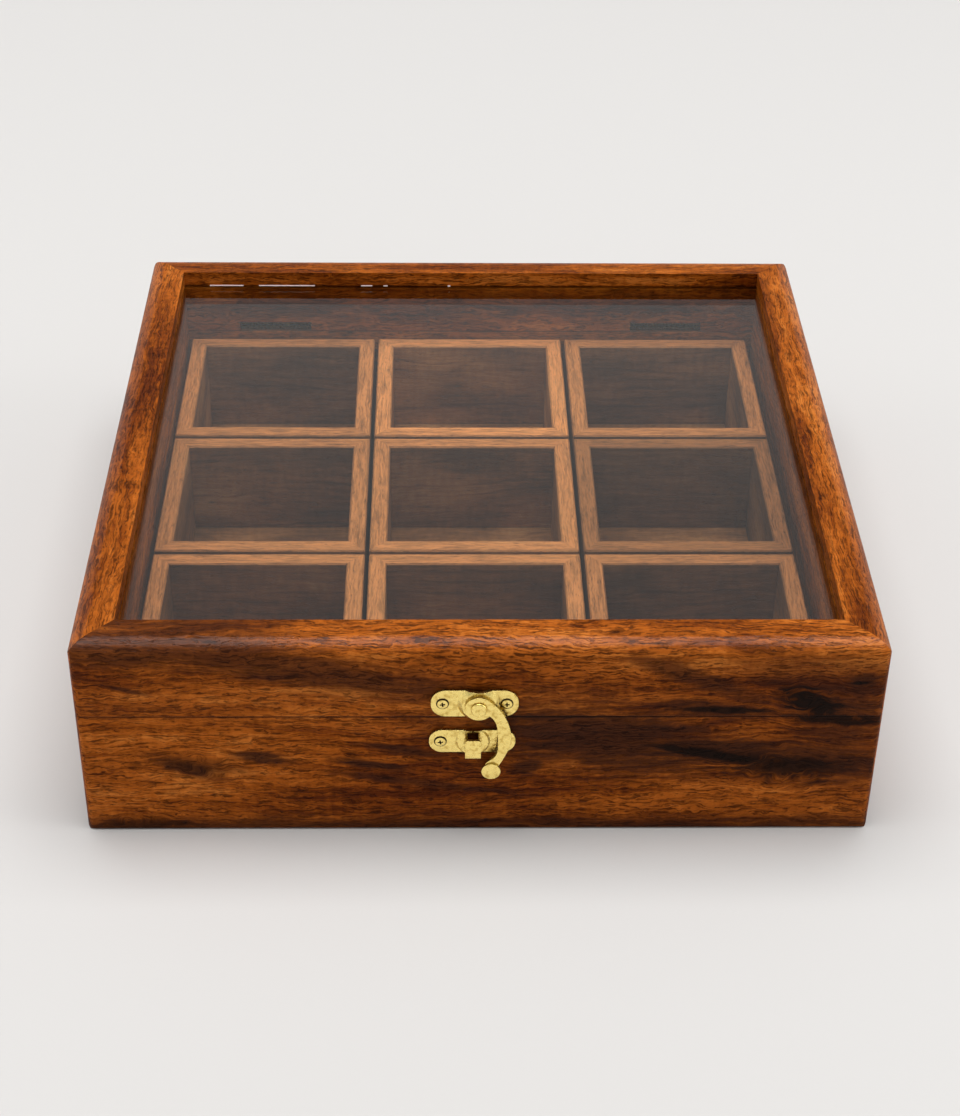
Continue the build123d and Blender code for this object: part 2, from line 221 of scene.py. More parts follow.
@dataclass(frozen=True)
class Cloud:
    """Noise drawn out along the grain: a blotch's length and width in millimetres, and its fineness.

    A blotch is as deep as it is wide, unless its depth is given.
    """

    along: float
    across: float
    detail: float = 2.0
    fineness: float = 0.5
    depth: float | None = None

    def noise(self, nodes: Nodes, place: Node) -> Node:
        """Draw the noise.

        Args:
            nodes: The material's nodes.
            place: The point, in millimetres, with the grain along X.

        Returns:
            The noise's node, with values about 0.5 in the middle.
        """
        size = (1 / self.along, 1 / (self.depth or self.across), 1 / self.across)
        stretched = nodes.add(VECTOR_MATH, place, size, operation="MULTIPLY")
        inputs = {"Vector": stretched, "Scale": 1.0, "Detail": self.detail, "Roughness": self.fineness}
        return nodes.add(NOISE, inputs)

    def dashes(self, nodes: Nodes, place: Node, shows: tuple[float, float]) -> Node:
        """Draw dashes, 0 up to the first of two levels of the noise and 1 from the second on."""
        return nodes.add(MAP_RANGE, self.noise(nodes, place), *shows, interpolation_type="SMOOTHSTEP")


# How the grain wanders, as the size of a bend and its share of the timber's wander
BENDS = ((Cloud(110.0, 40.0), 1.0), (Cloud(24.0, 11.0), 0.3), (Cloud(5.0, 2.6), 0.2))

# Between which levels of the noise dashes come up, and what they do to colour and relief
FIBRE_SHOWS = (0.4, 0.68)
FIBRE_FRAY = 0.25
FIBRE_RELIEF = 0.35
PORE_SHOWS = (0.62, 0.74)
PORE_SHADE = 0.5

# From which to which level of the frayed streaks a look changes, and from what to what
BARE_FADE = (0.42, 0.85, 1.0, 0.25)
DULL_FADE = (0.3, 0.9, -0.06, 0.12)

# Growth lines: their slant into the board, how far the figure shifts them, and where they show
RING_SLANT = 0.35
RING_SHIFT = 16.0
RING_SHOWS = (0.6, 1.0)
RING_FADE = Cloud(45.0, 7.0)
RING_FADE_SHOWS = (0.42, 0.62)

# What moves the colour along the palette: the figure, growth lines, the curl's shimmer, bright patches
FIGURE_SHARE = 0.5
RING_SHARE = -0.05
CURL = Cloud(1.8, 6.0)
CURL_SHARE = 0.1
GLOW_SHARE = 0.09
PALETTE_MIDDLE = 0.3
PALETTE_STEP = 0.06

# Knots: how many times its size a knot bends the grain over, how hard, and the curls close to it, in
# millimetres; a knot longer than the longest real one is only a line
KNOT_SPREAD = (1.5, 4.0)
KNOT_SQUEEZE = 0.6
KNOT_CURL = Cloud(7.0, 4.0, 1.0, depth=7.0)
KNOT_CURL_REACH = 8.0
LONGEST_KNOT = 50.0

# How far the streaks fray a stain's edge, and the distance from its middle at which the edge then is
STAIN_FRAY = 2.2
STAIN_EDGE = 2.4


@dataclass(frozen=True)
class Timber:
    """A timber and how its surface was finished.

    The palette runs from the darkest wood to the palest, and contrast says how much of it shows.
    """

    name: str
    palette: tuple[str, str, str, str, str]
    smoke: str
    knot: str
    sanded: str
    figure: Cloud
    streak: Cloud
    fibre: Cloud
    pore: Cloud
    ring_spacing: float
    wander: float
    streakiness: float
    contrast: float
    fibre_shade: float
    roughness: float
    specular: float
    coat: float
    edge_coat: float
    pore_depth: float = 0.08
    coat_roughness: float = 0.22

    def material(self, name: str, grain: Grain, offset: Corner, stains: Stains = ()) -> Material:
        """Build the material of one board.

        Args:
            name: The material's name.
            grain: Which way the board's grain runs.
            offset: Where in the log the board was cut from, in millimetres.
            stains: The board's own marks.

        Returns:
            The material.
        """
        material, nodes = new_material(name)
        place = nodes.add("ShaderNodeTexCoord").outputs["Object"]
        inputs = {"Vector": place, "Scale": (1 / MM,) * 3, "Rotation": (0, 0, radians(grain.value))}
        board = nodes.add("ShaderNodeMapping", inputs)
        bent = self.round_knots(nodes, board, stains)
        grown = self.wandering(nodes, nodes.add(VECTOR_MATH, bent, offset, operation="ADD"))
        streak = self.streak.noise(nodes, grown)
        fibre = self.fibre.dashes(nodes, grown, FIBRE_SHOWS)
        pore = self.pore.dashes(nodes, grown, PORE_SHOWS)
        fray = nodes.add(MATH, fibre, FIBRE_FRAY, streak, operation="MULTIPLY_ADD")
        smoke, knot, glow = (self.marks(nodes, board, fray, stains, mark) for mark in Mark)
        bare = nodes.add(ATTRIBUTE, attribute_name=SANDED).outputs["Fac"]
        bare = nodes.add(MATH, bare, nodes.add(MAP_RANGE, fray, *BARE_FADE), operation="MULTIPLY")

        colour = self.colour(nodes, grown, streak, glow)
        for level, paint in ((smoke, self.smoke), (knot, self.knot), (bare, self.sanded)):
            if level is not None:
                inputs = {0: level, 6: colour, 7: linear(paint)}
                colour = nodes.add(MIX, inputs, data_type="RGBA").outputs[2]
        shade = nodes.add(MAP_RANGE, {0: fibre, 3: 1.0, 4: 1.0 - self.fibre_shade})
        hole = nodes.add(MAP_RANGE, {0: pore, 3: 1.0, 4: PORE_SHADE})
        # Each container's tone, which on the right-hand column is painted shade
        own = nodes.add(ATTRIBUTE, attribute_name=TONE_AND_SHADE).outputs["Fac"]
        own = nodes.add(MATH, own, 1.0, operation="ADD")
        for level in (shade, hole, own):
            colour = nodes.add(VECTOR_MATH, {0: colour, "Scale": level}, operation="SCALE")

        relief = nodes.add(MATH, fibre, FIBRE_RELIEF, pore, operation="MULTIPLY_ADD")
        inputs = {"Height": relief, "Distance": self.pore_depth * MM, "Strength": 1.0}
        dents = nodes.add("ShaderNodeBump", inputs, invert=True)
        dull = nodes.add(MAP_RANGE, fray, *DULL_FADE)
        rubbed = nodes.add(ATTRIBUTE, attribute_name=POLISHED).outputs["Fac"]
        inputs = {
            "Base Color": colour,
            "Roughness": nodes.add(MATH, dull, self.roughness, operation="ADD"),
            "Normal": dents,
            "IOR": 1.5,
            "Specular IOR Level": self.specular,
            "Coat Weight": nodes.add(MAP_RANGE, {0: rubbed, 3: self.coat, 4: self.edge_coat}),
            "Coat Roughness": self.coat_roughness,
            "Coat Normal": dents,
        }
        nodes.add(SURFACE, nodes.add(PRINCIPLED, inputs))
        return material

    def wandering(self, nodes: Nodes, place: Node) -> Node:
        """Bend the grain, so that its lines wander up and down the board.

        Args:
            nodes: The material's nodes.
            place: The point in the log, in millimetres.

        Returns:
            The point moved across the grain.
        """
        moved = place
        for bend, share in BENDS:
            swirl = bend.noise(nodes, place).outputs[1]
            centred = nodes.add(VECTOR_MATH, swirl, (0.5,) * 3, operation="SUBTRACT")
            reach = 2 * self.wander * share
            moved = nodes.add(VECTOR_MATH, centred, (0.0, reach, reach), moved, operation="MULTIPLY_ADD")
        return moved

    def round_knots(self, nodes: Nodes, board: Node, stains: Stains) -> Node:
        """Let the grain run round the knots, and curl close to them.

        Args:
            nodes: The material's nodes.
            board: The point on the board, in millimetres.
            stains: The board's marks, of any kind.

        Returns:
            The point moved up or down the board.
        """
        moved, close = board, None
        for knot in stains:
            if knot.mark is not Mark.KNOT or knot.half_length > LONGEST_KNOT:
                continue
            inside, reach = knot.around(nodes, board, *KNOT_SPREAD)
            near = nodes.add(MAP_RANGE, {0: reach, 3: 1.0, 4: 0.0}, interpolation_type="SMOOTHSTEP")
            squeeze = (0.0, 0.0, -KNOT_SQUEEZE * (knot.half_height * KNOT_SPREAD[1]))
            push = nodes.add(VECTOR_MATH, inside, squeeze, operation="MULTIPLY")
            push = nodes.add(VECTOR_MATH, {0: push, "Scale": near}, operation="SCALE")
            moved = nodes.add(VECTOR_MATH, moved, push, operation="ADD")
            close = near if close is None else nodes.add(MATH, close, near, operation="MAXIMUM")
        if close is None:
            return board
        swirl = KNOT_CURL.noise(nodes, board).outputs[1]
        centred = nodes.add(VECTOR_MATH, swirl, (0.5,) * 3, operation="SUBTRACT")
        sized = nodes.add(VECTOR_MATH, centred, (0.0, 0.0, KNOT_CURL_REACH), operation="MULTIPLY")
        sized = nodes.add(VECTOR_MATH, {0: sized, "Scale": close}, operation="SCALE")
        return nodes.add(VECTOR_MATH, moved, sized, operation="ADD")

    def colour(self, nodes: Nodes, grown: Node, streak: Node, glow: Node | None) -> Socket:
        """Colour the plain wood, from broad figure, streaks, growth lines and curl.

        Args:
            nodes: The material's nodes.
            grown: The wandering point in the log.
            streak: Streaky noise.
            glow: How much brighter the board is at its bright patches, or None.

        Returns:
            The colour.
        """
        figure = self.figure.noise(nodes, grown)
        line = self.rings(nodes, grown, figure)
        curl = CURL.noise(nodes, grown)
        tone = nodes.add(MATH, figure, FIGURE_SHARE, operation="MULTIPLY")
        shares = ((streak, self.streakiness), (line, RING_SHARE), (curl, CURL_SHARE), (glow, GLOW_SHARE))
        for part, share in shares:
            if part is not None:
                tone = nodes.add(MATH, part, share, tone, operation="MULTIPLY_ADD")
        ramp = nodes.add("ShaderNodeValToRGB", tone)
        middle = PALETTE_MIDDLE + self.streakiness / 2
        steps = [middle + step * PALETTE_STEP / self.contrast for step in (-2, -1, 0, 1, 2)]
        set_stops(ramp, [(step, linear(paint)) for step, paint in zip(steps, self.palette)])
        return ramp.outputs[0]

    def rings(self, nodes: Nodes, grown: Node, figure: Node) -> Node:
        """Draw thin dark growth lines that come and go along the board.

        Args:
            nodes: The material's nodes.
            grown: The wandering point in the log.
            figure: The broad figure, which spreads and crowds the lines.

        Returns:
            1 on a line and 0 between lines.
        """
        parts = nodes.add(SPLIT, grown).outputs
        across = nodes.add(MATH, parts[1], RING_SLANT, parts[2], operation="MULTIPLY_ADD")
        phase = nodes.add(MATH, across, 2 * pi / self.ring_spacing, operation="MULTIPLY")
        phase = nodes.add(MATH, figure, RING_SHIFT, phase, operation="MULTIPLY_ADD")
        wave = nodes.add(MATH, phase, operation="SINE")
        line = nodes.add(MAP_RANGE, wave, *RING_SHOWS, interpolation_type="SMOOTHSTEP")
        fade = RING_FADE.dashes(nodes, grown, RING_FADE_SHOWS)
        return nodes.add(MATH, line, fade, operation="MULTIPLY")

    def marks(self, nodes: Nodes, board: Node, fray: Node, stains: Stains, mark: Mark) -> Node | None:
        """Lay all the stains of one kind over each other.

        Args:
            nodes: The material's nodes.
            board: The point on the board, in millimetres.
            fray: Streaky noise that frays the stains' edges along the grain.
            stains: The board's marks, of any kind.
            mark: The kind to lay.

        Returns:
            How strongly a point is marked, or None if the board has none of that kind.
        """
        total = None
        for stain in stains:
            if stain.mark is mark:
                reach = stain.around(nodes, board)[1]
                frayed = nodes.add(MATH, fray, STAIN_FRAY, reach, operation="MULTIPLY_ADD")
                ends = (STAIN_EDGE + stain.softness, STAIN_EDGE - stain.softness, 0.0, stain.strength)
                level = nodes.add(MAP_RANGE, frayed, *ends, interpolation_type="SMOOTHSTEP")
                total = level if total is None else nodes.add(MATH, total, level, operation="MAXIMUM")
        return total


# Indian rosewood, planed and brushed with satin lacquer: orange-brown wood full of short dark fibres,
# smoky bands of heartwood that follow the grain, and a low sheen that shows only on the round edges.
# Its fibres and pores are drawn coarser than real ones, which are too fine to show in the render
SHEESHAM = Timber(
    name="lacquered_sheesham",
    palette=("5A2608", "7B3A0B", "964C12", "AD5B1A", "C26F2A"),
    smoke="3B1E10",
    knot="140C08",
    sanded="C07A42",
    figure=Cloud(90.0, 13.0, 3.0),
    streak=Cloud(22.0, 2.0, 4.0, 0.6),
    fibre=Cloud(8.0, 0.55, 3.0, 0.55),
    pore=Cloud(4.0, 0.34, 1.0, 0.4),
    ring_spacing=5.5,
    wander=6.0,
    streakiness=0.3,
    contrast=1.15,
    fibre_shade=0.72,
    roughness=0.38,
    specular=0.03,
    coat=0.02,
    edge_coat=0.24,
)

# The same timber left bare inside the box: dull and dark from handling, paler where the rims are sanded
BARE_SHEESHAM = Timber(
    name="bare_sheesham",
    palette=("5B341F", "734629", "8C5733", "A3693F", "B87D4E"),
    smoke="38241A",
    knot="1C1410",
    sanded="DB874F",
    figure=Cloud(45.0, 18.0, 3.0),
    streak=Cloud(16.0, 1.6, 4.0, 0.6),
    fibre=Cloud(9.0, 0.6, 3.0, 0.6),
    pore=Cloud(3.0, 0.3, 1.0, 0.4),
    ring_spacing=4.0,
    wander=3.0,
    streakiness=0.2,
    contrast=1.0,
    fibre_shade=0.22,
    roughness=0.62,
    specular=0.15,
    coat=0.0,
    edge_coat=0.0,
)


@dataclass(frozen=True)
class Metal:
    """A bare or plated metal, blotched and slightly dented.

    A blotch and a dent are sizes in millimetres, and the dents are as deep as dent_depth. Tarnish
    comes up between two levels of the blotches, and they make the metal smoother or rougher.
    """

    name: str
    colour: str
    tarnish: str
    # Colour of the painted shade
    dirt: str
    blotch: float
    dent: float
    dent_depth: float
    roughness: float
    tarnish_shows: tuple[float, float] = (0.5, 0.8)
    rough_shows: tuple[float, float] = (0.3, 0.7)
    smoother: float = 0.06
    rougher: float = 0.1

    def material(self) -> Material:
        """Build the metal's material.

        Returns:
            The material.
        """
        material, nodes = new_material(self.name)
        place = nodes.add("ShaderNodeTexCoord").outputs["Object"]
        blotch = nodes.add(NOISE, {"Vector": place, "Scale": 1 / (self.blotch * MM), "Detail": 3.0})
        dents = nodes.add(NOISE, {"Vector": place, "Scale": 1 / (self.dent * MM), "Detail": 2.0})
        share = nodes.add(MAP_RANGE, blotch, *self.tarnish_shows)
        # Painted shade: the colour darkens to the dark shade colour where the mesh's attribute says, in screw
        # recesses, round screw heads and on the brass parts' shaded edges
        grime = nodes.add(ATTRIBUTE, attribute_name=PAINTED_SHADE).outputs["Fac"]
        colour = linear(self.colour)
        for level, paint in ((share, self.tarnish), (grime, self.dirt)):
            inputs = {0: level, 6: colour, 7: linear(paint)}
            colour = nodes.add(MIX, inputs, data_type="RGBA").outputs[2]
        ends = (self.roughness - self.smoother, self.roughness + self.rougher)
        inputs = {"Height": dents, "Distance": self.dent_depth * MM, "Strength": 1.0}
        inputs = {
            "Base Color": colour,
            "Metallic": 1.0,
            "Roughness": nodes.add(MAP_RANGE, blotch, *self.rough_shows, *ends),
            "Normal": nodes.add("ShaderNodeBump", inputs),
        }
        nodes.add(SURFACE, nodes.add(PRINCIPLED, inputs))
        return material


# Stamped steel sheet with bright brass plating: pale yellow, with soft dents that break up its shine,
# and dark brown painted shade in the screws' recesses, round their heads and on the parts' shaded edges
PLATED_BRASS = Metal(
    name="plated_brass",
    colour="FFE48A",
    tarnish="C39C42",
    dirt="2A1B0C",
    blotch=1.4,
    dent=0.7,
    dent_depth=0.1,
    roughness=0.25,
)

# Drawn steel wire, as floor pins are cut from: grey, with a faint brown bloom
DRAWN_STEEL = Metal(
    name="drawn_steel",
    colour="B9B9BB",
    tarnish="8E857B",
    dirt="2A2522",
    blotch=1.2,
    dent=0.5,
    dent_depth=0.02,
    roughness=0.36,
)


@dataclass(frozen=True)
class Glass:
    """Clear float glass: smooth, with the faint green of plain window glass."""

    name: str = "float_glass"
    colour: str = "F2F7F4"
    ior: float = 1.5

    def material(self) -> Material:
        """Build the glass, which lets lamps light what is behind it.

        Returns:
            The material.
        """
        material, nodes = new_material(self.name)
        tint = linear(self.colour)
        inputs = {"Base Color": tint, "Roughness": 0.0, "IOR": self.ior, "Transmission Weight": 1.0}
        shader = nodes.add(PRINCIPLED, inputs)
        path = nodes.add("ShaderNodeLightPath").outputs
        lamp_ray = nodes.add(MATH, path["Is Shadow Ray"], path["Is Diffuse Ray"], operation="MAXIMUM")
        clear = nodes.add("ShaderNodeBsdfTransparent", {"Color": tint})
        nodes.add(SURFACE, nodes.add("ShaderNodeMixShader", lamp_ray, shader, clear))
        return material


def new_object(name: str, data: bpy.types.ID) -> Piece:
    """Make an object and put it in the scene.

    Args:
        name: The object's name.
        data: Its mesh, camera or light.

    Returns:
        The object.
    """
    made = bpy.data.objects.new(name, data)
    bpy.context.scene.collection.objects.link(made)
    return made


def dress(piece: Piece, material: Material) -> None:
    """Give a piece one material all over."""
    piece.data.materials.clear()
    piece.data.materials.append(material)


def smooth(mesh: bpy.types.Mesh, sharp_from: float = 35.0) -> None:
    """Shade a mesh smooth, except over edges that are sharp from an angle in degrees on."""
    mesh.shade_smooth()
    mesh.set_sharp_from_angle(angle=radians(sharp_from))


def store(piece: Piece, name: str, level: Callable[[Vector], float]) -> None:
    """Store on each face of a piece a level worked out from its normal, for its material to read."""
    levels = [level(face.normal) for face in piece.data.polygons]
    piece.data.attributes.new(name, "FLOAT", "FACE").data.foreach_set("value", levels)


def settle(piece: Piece, body: str, slot: str, *nodes: str) -> None:
    """Let a finished piece ride on its body, in place of the nodes that it stands for.

    Args:
        piece: The finished piece.
        body: The body that it moves with.
        slot: Not used.
        nodes: The nodes that it replaces.
    """
    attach(piece, body)
    if nodes:
        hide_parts(*nodes)
    log.info("%s rides on %s, with %d faces", piece.name, body, len(piece.data.polygons))


# Points of a node's mesh that are nearer to each other than this, in metres, are one
SAME_PLACE = 1e-6


def merged_shape(node: str) -> bmesh.types.BMesh:
    """Copy a node's loose triangles as one joined-up shape.

    Args:
        node: The node to copy.

    Returns:
        The shape, which the caller frees.
    """
    shape = bmesh.new()
    shape.from_mesh(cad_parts[node].data)
    bmesh.ops.remove_doubles(shape, verts=shape.verts, dist=SAME_PLACE)
    return shape


# From which angles on, in degrees, faces aren't one flat face, and an edge is sharp; and the least
# size of a mitred joint's face, in square metres, and how near to 45 degrees it is
FLAT_TO = 0.5
SHARP_FROM = 32
JOINT_AREA = 5e-5
JOINT_SKEW = 1e-3


def eased_copy(node: str, name: str, ease: float, segments: int = 2, mitred: bool = False) -> Piece:
    """Copy a node's solid as a clean mesh with its sharp outer edges softened.

    Args:
        node: The node to copy.
        name: The new piece's name.
        ease: Width of the softened edge, in metres.
        segments: Facets across the softened edge.
        mitred: Whether large faces at 45 degrees in plan are joints, whose edges stay sharp.

    Returns:
        The new piece, not yet riding on a body.
    """
    shape = merged_shape(node)
    bmesh.ops.dissolve_limit(shape, angle_limit=radians(FLAT_TO), verts=shape.verts, edges=shape.edges)
    shape.normal_update()
    joints = {
        face
        for face in shape.faces
        if mitred
        and abs(abs(face.normal.x) - abs(face.normal.y)) < JOINT_SKEW
        and face.calc_area() > JOINT_AREA
    }
    sharp = [
        edge
        for edge in shape.edges
        if edge.is_manifold
        and edge.calc_face_angle_signed() > radians(SHARP_FROM)
        and not joints.intersection(edge.link_faces)
    ]
    settings = {"segments": segments, "profile": 0.5, "affect": "EDGES", "clamp_overlap": True}
    bmesh.ops.bevel(shape, geom=sharp, offset=ease, **settings)
    mesh = bpy.data.meshes.new(name)
    shape.to_mesh(mesh)
    shape.free()
    if "custom_normal" in mesh.attributes:
        mesh.attributes.remove(mesh.attributes["custom_normal"])
    smooth(mesh)
    return new_object(name, mesh)


class Growth(Nodes):
    """A Geometry Nodes tree with named inputs, from which pieces are grown as plain meshes."""

    def __init__(self, name: str, inputs: dict[str, float | int | Corner]) -> None:
        """Start the tree.

        Args:
            name: The tree's name.
            inputs: The name and starting value of each input besides the material.
        """
        super().__init__(bpy.data.node_groups.new(name, "GeometryNodeTree"))
        face = self.tree.interface
        face.new_socket("Geometry", in_out="OUTPUT", socket_type="NodeSocketGeometry")
        face.new_socket("Geometry", in_out="INPUT", socket_type="NodeSocketGeometry")
        kinds = {float: "NodeSocketFloat", int: "NodeSocketInt", tuple: "NodeSocketVector"}
        self.sockets = {}
        for label, start in {**inputs, "Material": None}.items():
            kind = kinds.get(type(start), "NodeSocketMaterial")
            socket = face.new_socket(label, in_out="INPUT", socket_type=kind)
            if start is not None:
                socket.default_value = start
            self.sockets[label] = socket.identifier
        self.given = self.add("NodeGroupInput").outputs

    def finish(self, shape: Node) -> None:
        """End the tree: realise the instances in its finished shape and give them the material.

        Args:
            shape: The node that gives the finished shape.
        """
        real = self.add("GeometryNodeRealizeInstances", shape)
        inputs = {"Geometry": real, "Material": self.given["Material"]}
        self.add("NodeGroupOutput", self.add("GeometryNodeSetMaterial", inputs))

    def grow(self, name: str, values: dict[str, object], seeds: list[Vector] | None = None) -> Piece:
        """Grow one piece and make it a plain mesh.

        Args:
            name: The piece's name.
            values: Values of the tree's named inputs.
            seeds: Points that the tree starts from, if it needs any.

        Returns:
            The piece, at the origin, with no modifier left.
        """
        start = bpy.data.meshes.new(f"{name}_start")
        start.from_pydata(seeds or [], [], [])
        piece = new_object(name, start)
        modifier = piece.modifiers.new("growth", "NODES")
        modifier.node_group = self.tree
        for label, value in values.items():
            modifier[self.sockets[label]] = value
        depsgraph = bpy.context.evaluated_depsgraph_get()
        grown = piece.evaluated_get(depsgraph)
        mesh = bpy.data.meshes.new_from_object(grown, preserve_all_data_layers=True, depsgraph=depsgraph)
        piece.modifiers.remove(modifier)
        piece.data = mesh
        mesh.name = name
        bpy.data.meshes.remove(start)
        smooth(mesh)
        return piece


def named_sizes(part: object) -> dict[str, float]:
    """A dataclass's plain numbers, by the names that its tree gives them, such as Corner Radius."""
    fields = asdict(part).items()
    return {name.replace("_", " ").title(): value for name, value in fields if isinstance(value, float)}


# Marks on the front boards: a smoky band falls from the upper left to the latch, a second one runs
# from the latch to a black knot at the right, and the foot is dark all along. A row has a stain's place,
# half sizes, slope, strength and softness
FRONT_MARKS = tuple(
    Stain(mark, *row)
    for mark, rows in {
        Mark.SMOKE: (
            (-56.0, 60.5, 50.0, 5.2, -0.2, 0.75),
            (-98.0, 65.0, 20.0, 4.0, -0.04, 0.75),
            (34.0, 34.5, 36.0, 10.5, -0.16, 0.9),
            (66.0, 30.0, 28.0, 5.0, -0.1, 0.95),
            (95.0, 25.5, 22.0, 6.5, -0.12, 0.85),
            (66.0, 45.0, 15.0, 2.8, -0.15, 0.8),
            (60.0, 56.5, 17.0, 2.8, -0.4, 0.75),
            (92.0, 58.5, 22.0, 5.0, -0.05, 0.5),
            (102.0, 42.0, 12.0, 12.0, 0.0, 0.7),
            (107.0, 55.0, 5.5, 2.6, 0.1, 0.9),
            (-98.5, 52.0, 6.0, 0.8, -0.3, 0.8),
            (-85.0, 23.8, 9.0, 2.2, -0.4, 0.75),
            (-31.0, 25.0, 9.0, 1.3, -0.2, 0.9),
            (-22.0, 30.4, 9.0, 1.5, -0.18, 0.85),
            (-63.0, 27.6, 7.0, 1.8, -0.15, 0.9),
            (-17.0, 18.0, 22.0, 1.3, -0.15, 0.7),
            (13.8, 24.0, 4.5, 2.8, 0.3, 0.9),
            (0.0, 0.0, 160.0, 4.0, 0.0, 0.8),
        ),
        Mark.KNOT: (
            (-99.0, 1.5, 12.0, 2.6, 0.0, 0.55, 0.4),
            (-79.0, 24.6, 10.0, 2.4, -0.15, 0.5, 0.5),
            (86.0, 23.5, 14.0, 3.8, -0.08, 0.8, 0.5),
            (93.0, 48.0, 9.0, 3.6, -0.45, 0.95, 0.4),
            (101.0, 41.5, 11.0, 1.8, -0.05, 0.9, 0.4),
            (66.5, 28.5, 15.0, 1.4, -0.2, 0.9, 0.4),
            (68.0, 45.0, 12.0, 0.9, -0.04, 0.85, 0.4),
            (107.2, 54.8, 3.0, 0.6, 0.1, 0.9, 0.4),
        ),
        Mark.GLOW: (
            (70.0, 64.0, 60.0, 6.0, 0.0, 0.9),
            (-22.0, 62.0, 26.0, 4.0, -0.1, 0.8),
            (80.0, 12.0, 30.0, 6.0, 0.0, 0.45),
            (75.0, 37.5, 9.0, 2.4, 0.0, 0.6),
        ),
    }.items()
    for row in rows
)


@dataclass
class Case:
    """The box's own walls and lid rails: one carcass sawn in two, so the grain runs on into the lid.

    The rounded upper edges are rubbed glossy, from where they start to face upwards to the flat top.
    """

    wall_ease: float = 0.45 * MM
    rail_ease: float = 0.35 * MM
    gloss_from: float = 0.35
    gloss_full: float = 0.8
    flat_from: float = 0.98

    def build(self) -> None:
        """Make the eight boards."""
        for side, (grain, offset, stains) in self.cuts().items():
            material = SHEESHAM.material(f"{SHEESHAM.name}_{side}", grain, offset, stains)
            for node, body, ease in (
                (f"base_{side}_wall", "base", self.wall_ease),
                (f"lid_{side}_rail", "lid", self.rail_ease),
            ):
                piece = eased_copy(node, f"{node}_board", ease, mitred=True)
                store(piece, POLISHED, self.gloss)
                dress(piece, material)
                settle(piece, body, "rosewood", node)

    def gloss(self, normal: Vector) -> float:
        """How glossy a face is, from 0 to 1, by the upward part of its normal."""
        rise = (normal.z - self.gloss_from) / (self.gloss_full - self.gloss_from)
        return 0.0 if normal.z > self.flat_from else min(1.0, max(0.0, rise))

    def cuts(self) -> dict[str, tuple[Grain, Corner, Stains]]:
        """Say how each side was cut, with marks at its foot and saw cut, and painted light at the back's
        inner edge.

        Returns:
            For each side its grain, its place in the log in millimetres, and its marks.
        """
        foot = Stain(Mark.SMOKE, 0.0, 0.0, 160.0, 2.5, strength=0.7)
        joint = Stain(Mark.KNOT, 0.0, 42.5, 160.0, 0.22, strength=0.6)
        # Painted light: a bright band along the top of the back board, where its inner face catches the light
        # from the front
        painted_light_edge = Stain(Mark.GLOW, 0.0, 65.0, 160.0, 1.6, strength=0.6)
        return {
            "front": (Grain.ALONG_X, (0.0, 0.0, 0.0), (*FRONT_MARKS, joint)),
            "back": (Grain.ALONG_X, (410.0, 60.0, 35.0), (foot, joint, painted_light_edge)),
            "left": (Grain.ALONG_Y, (830.0, 140.0, 90.0), (foot, joint)),
            "right": (Grain.ALONG_Y, (1270.0, 260.0, 140.0), (foot, joint)),
        }


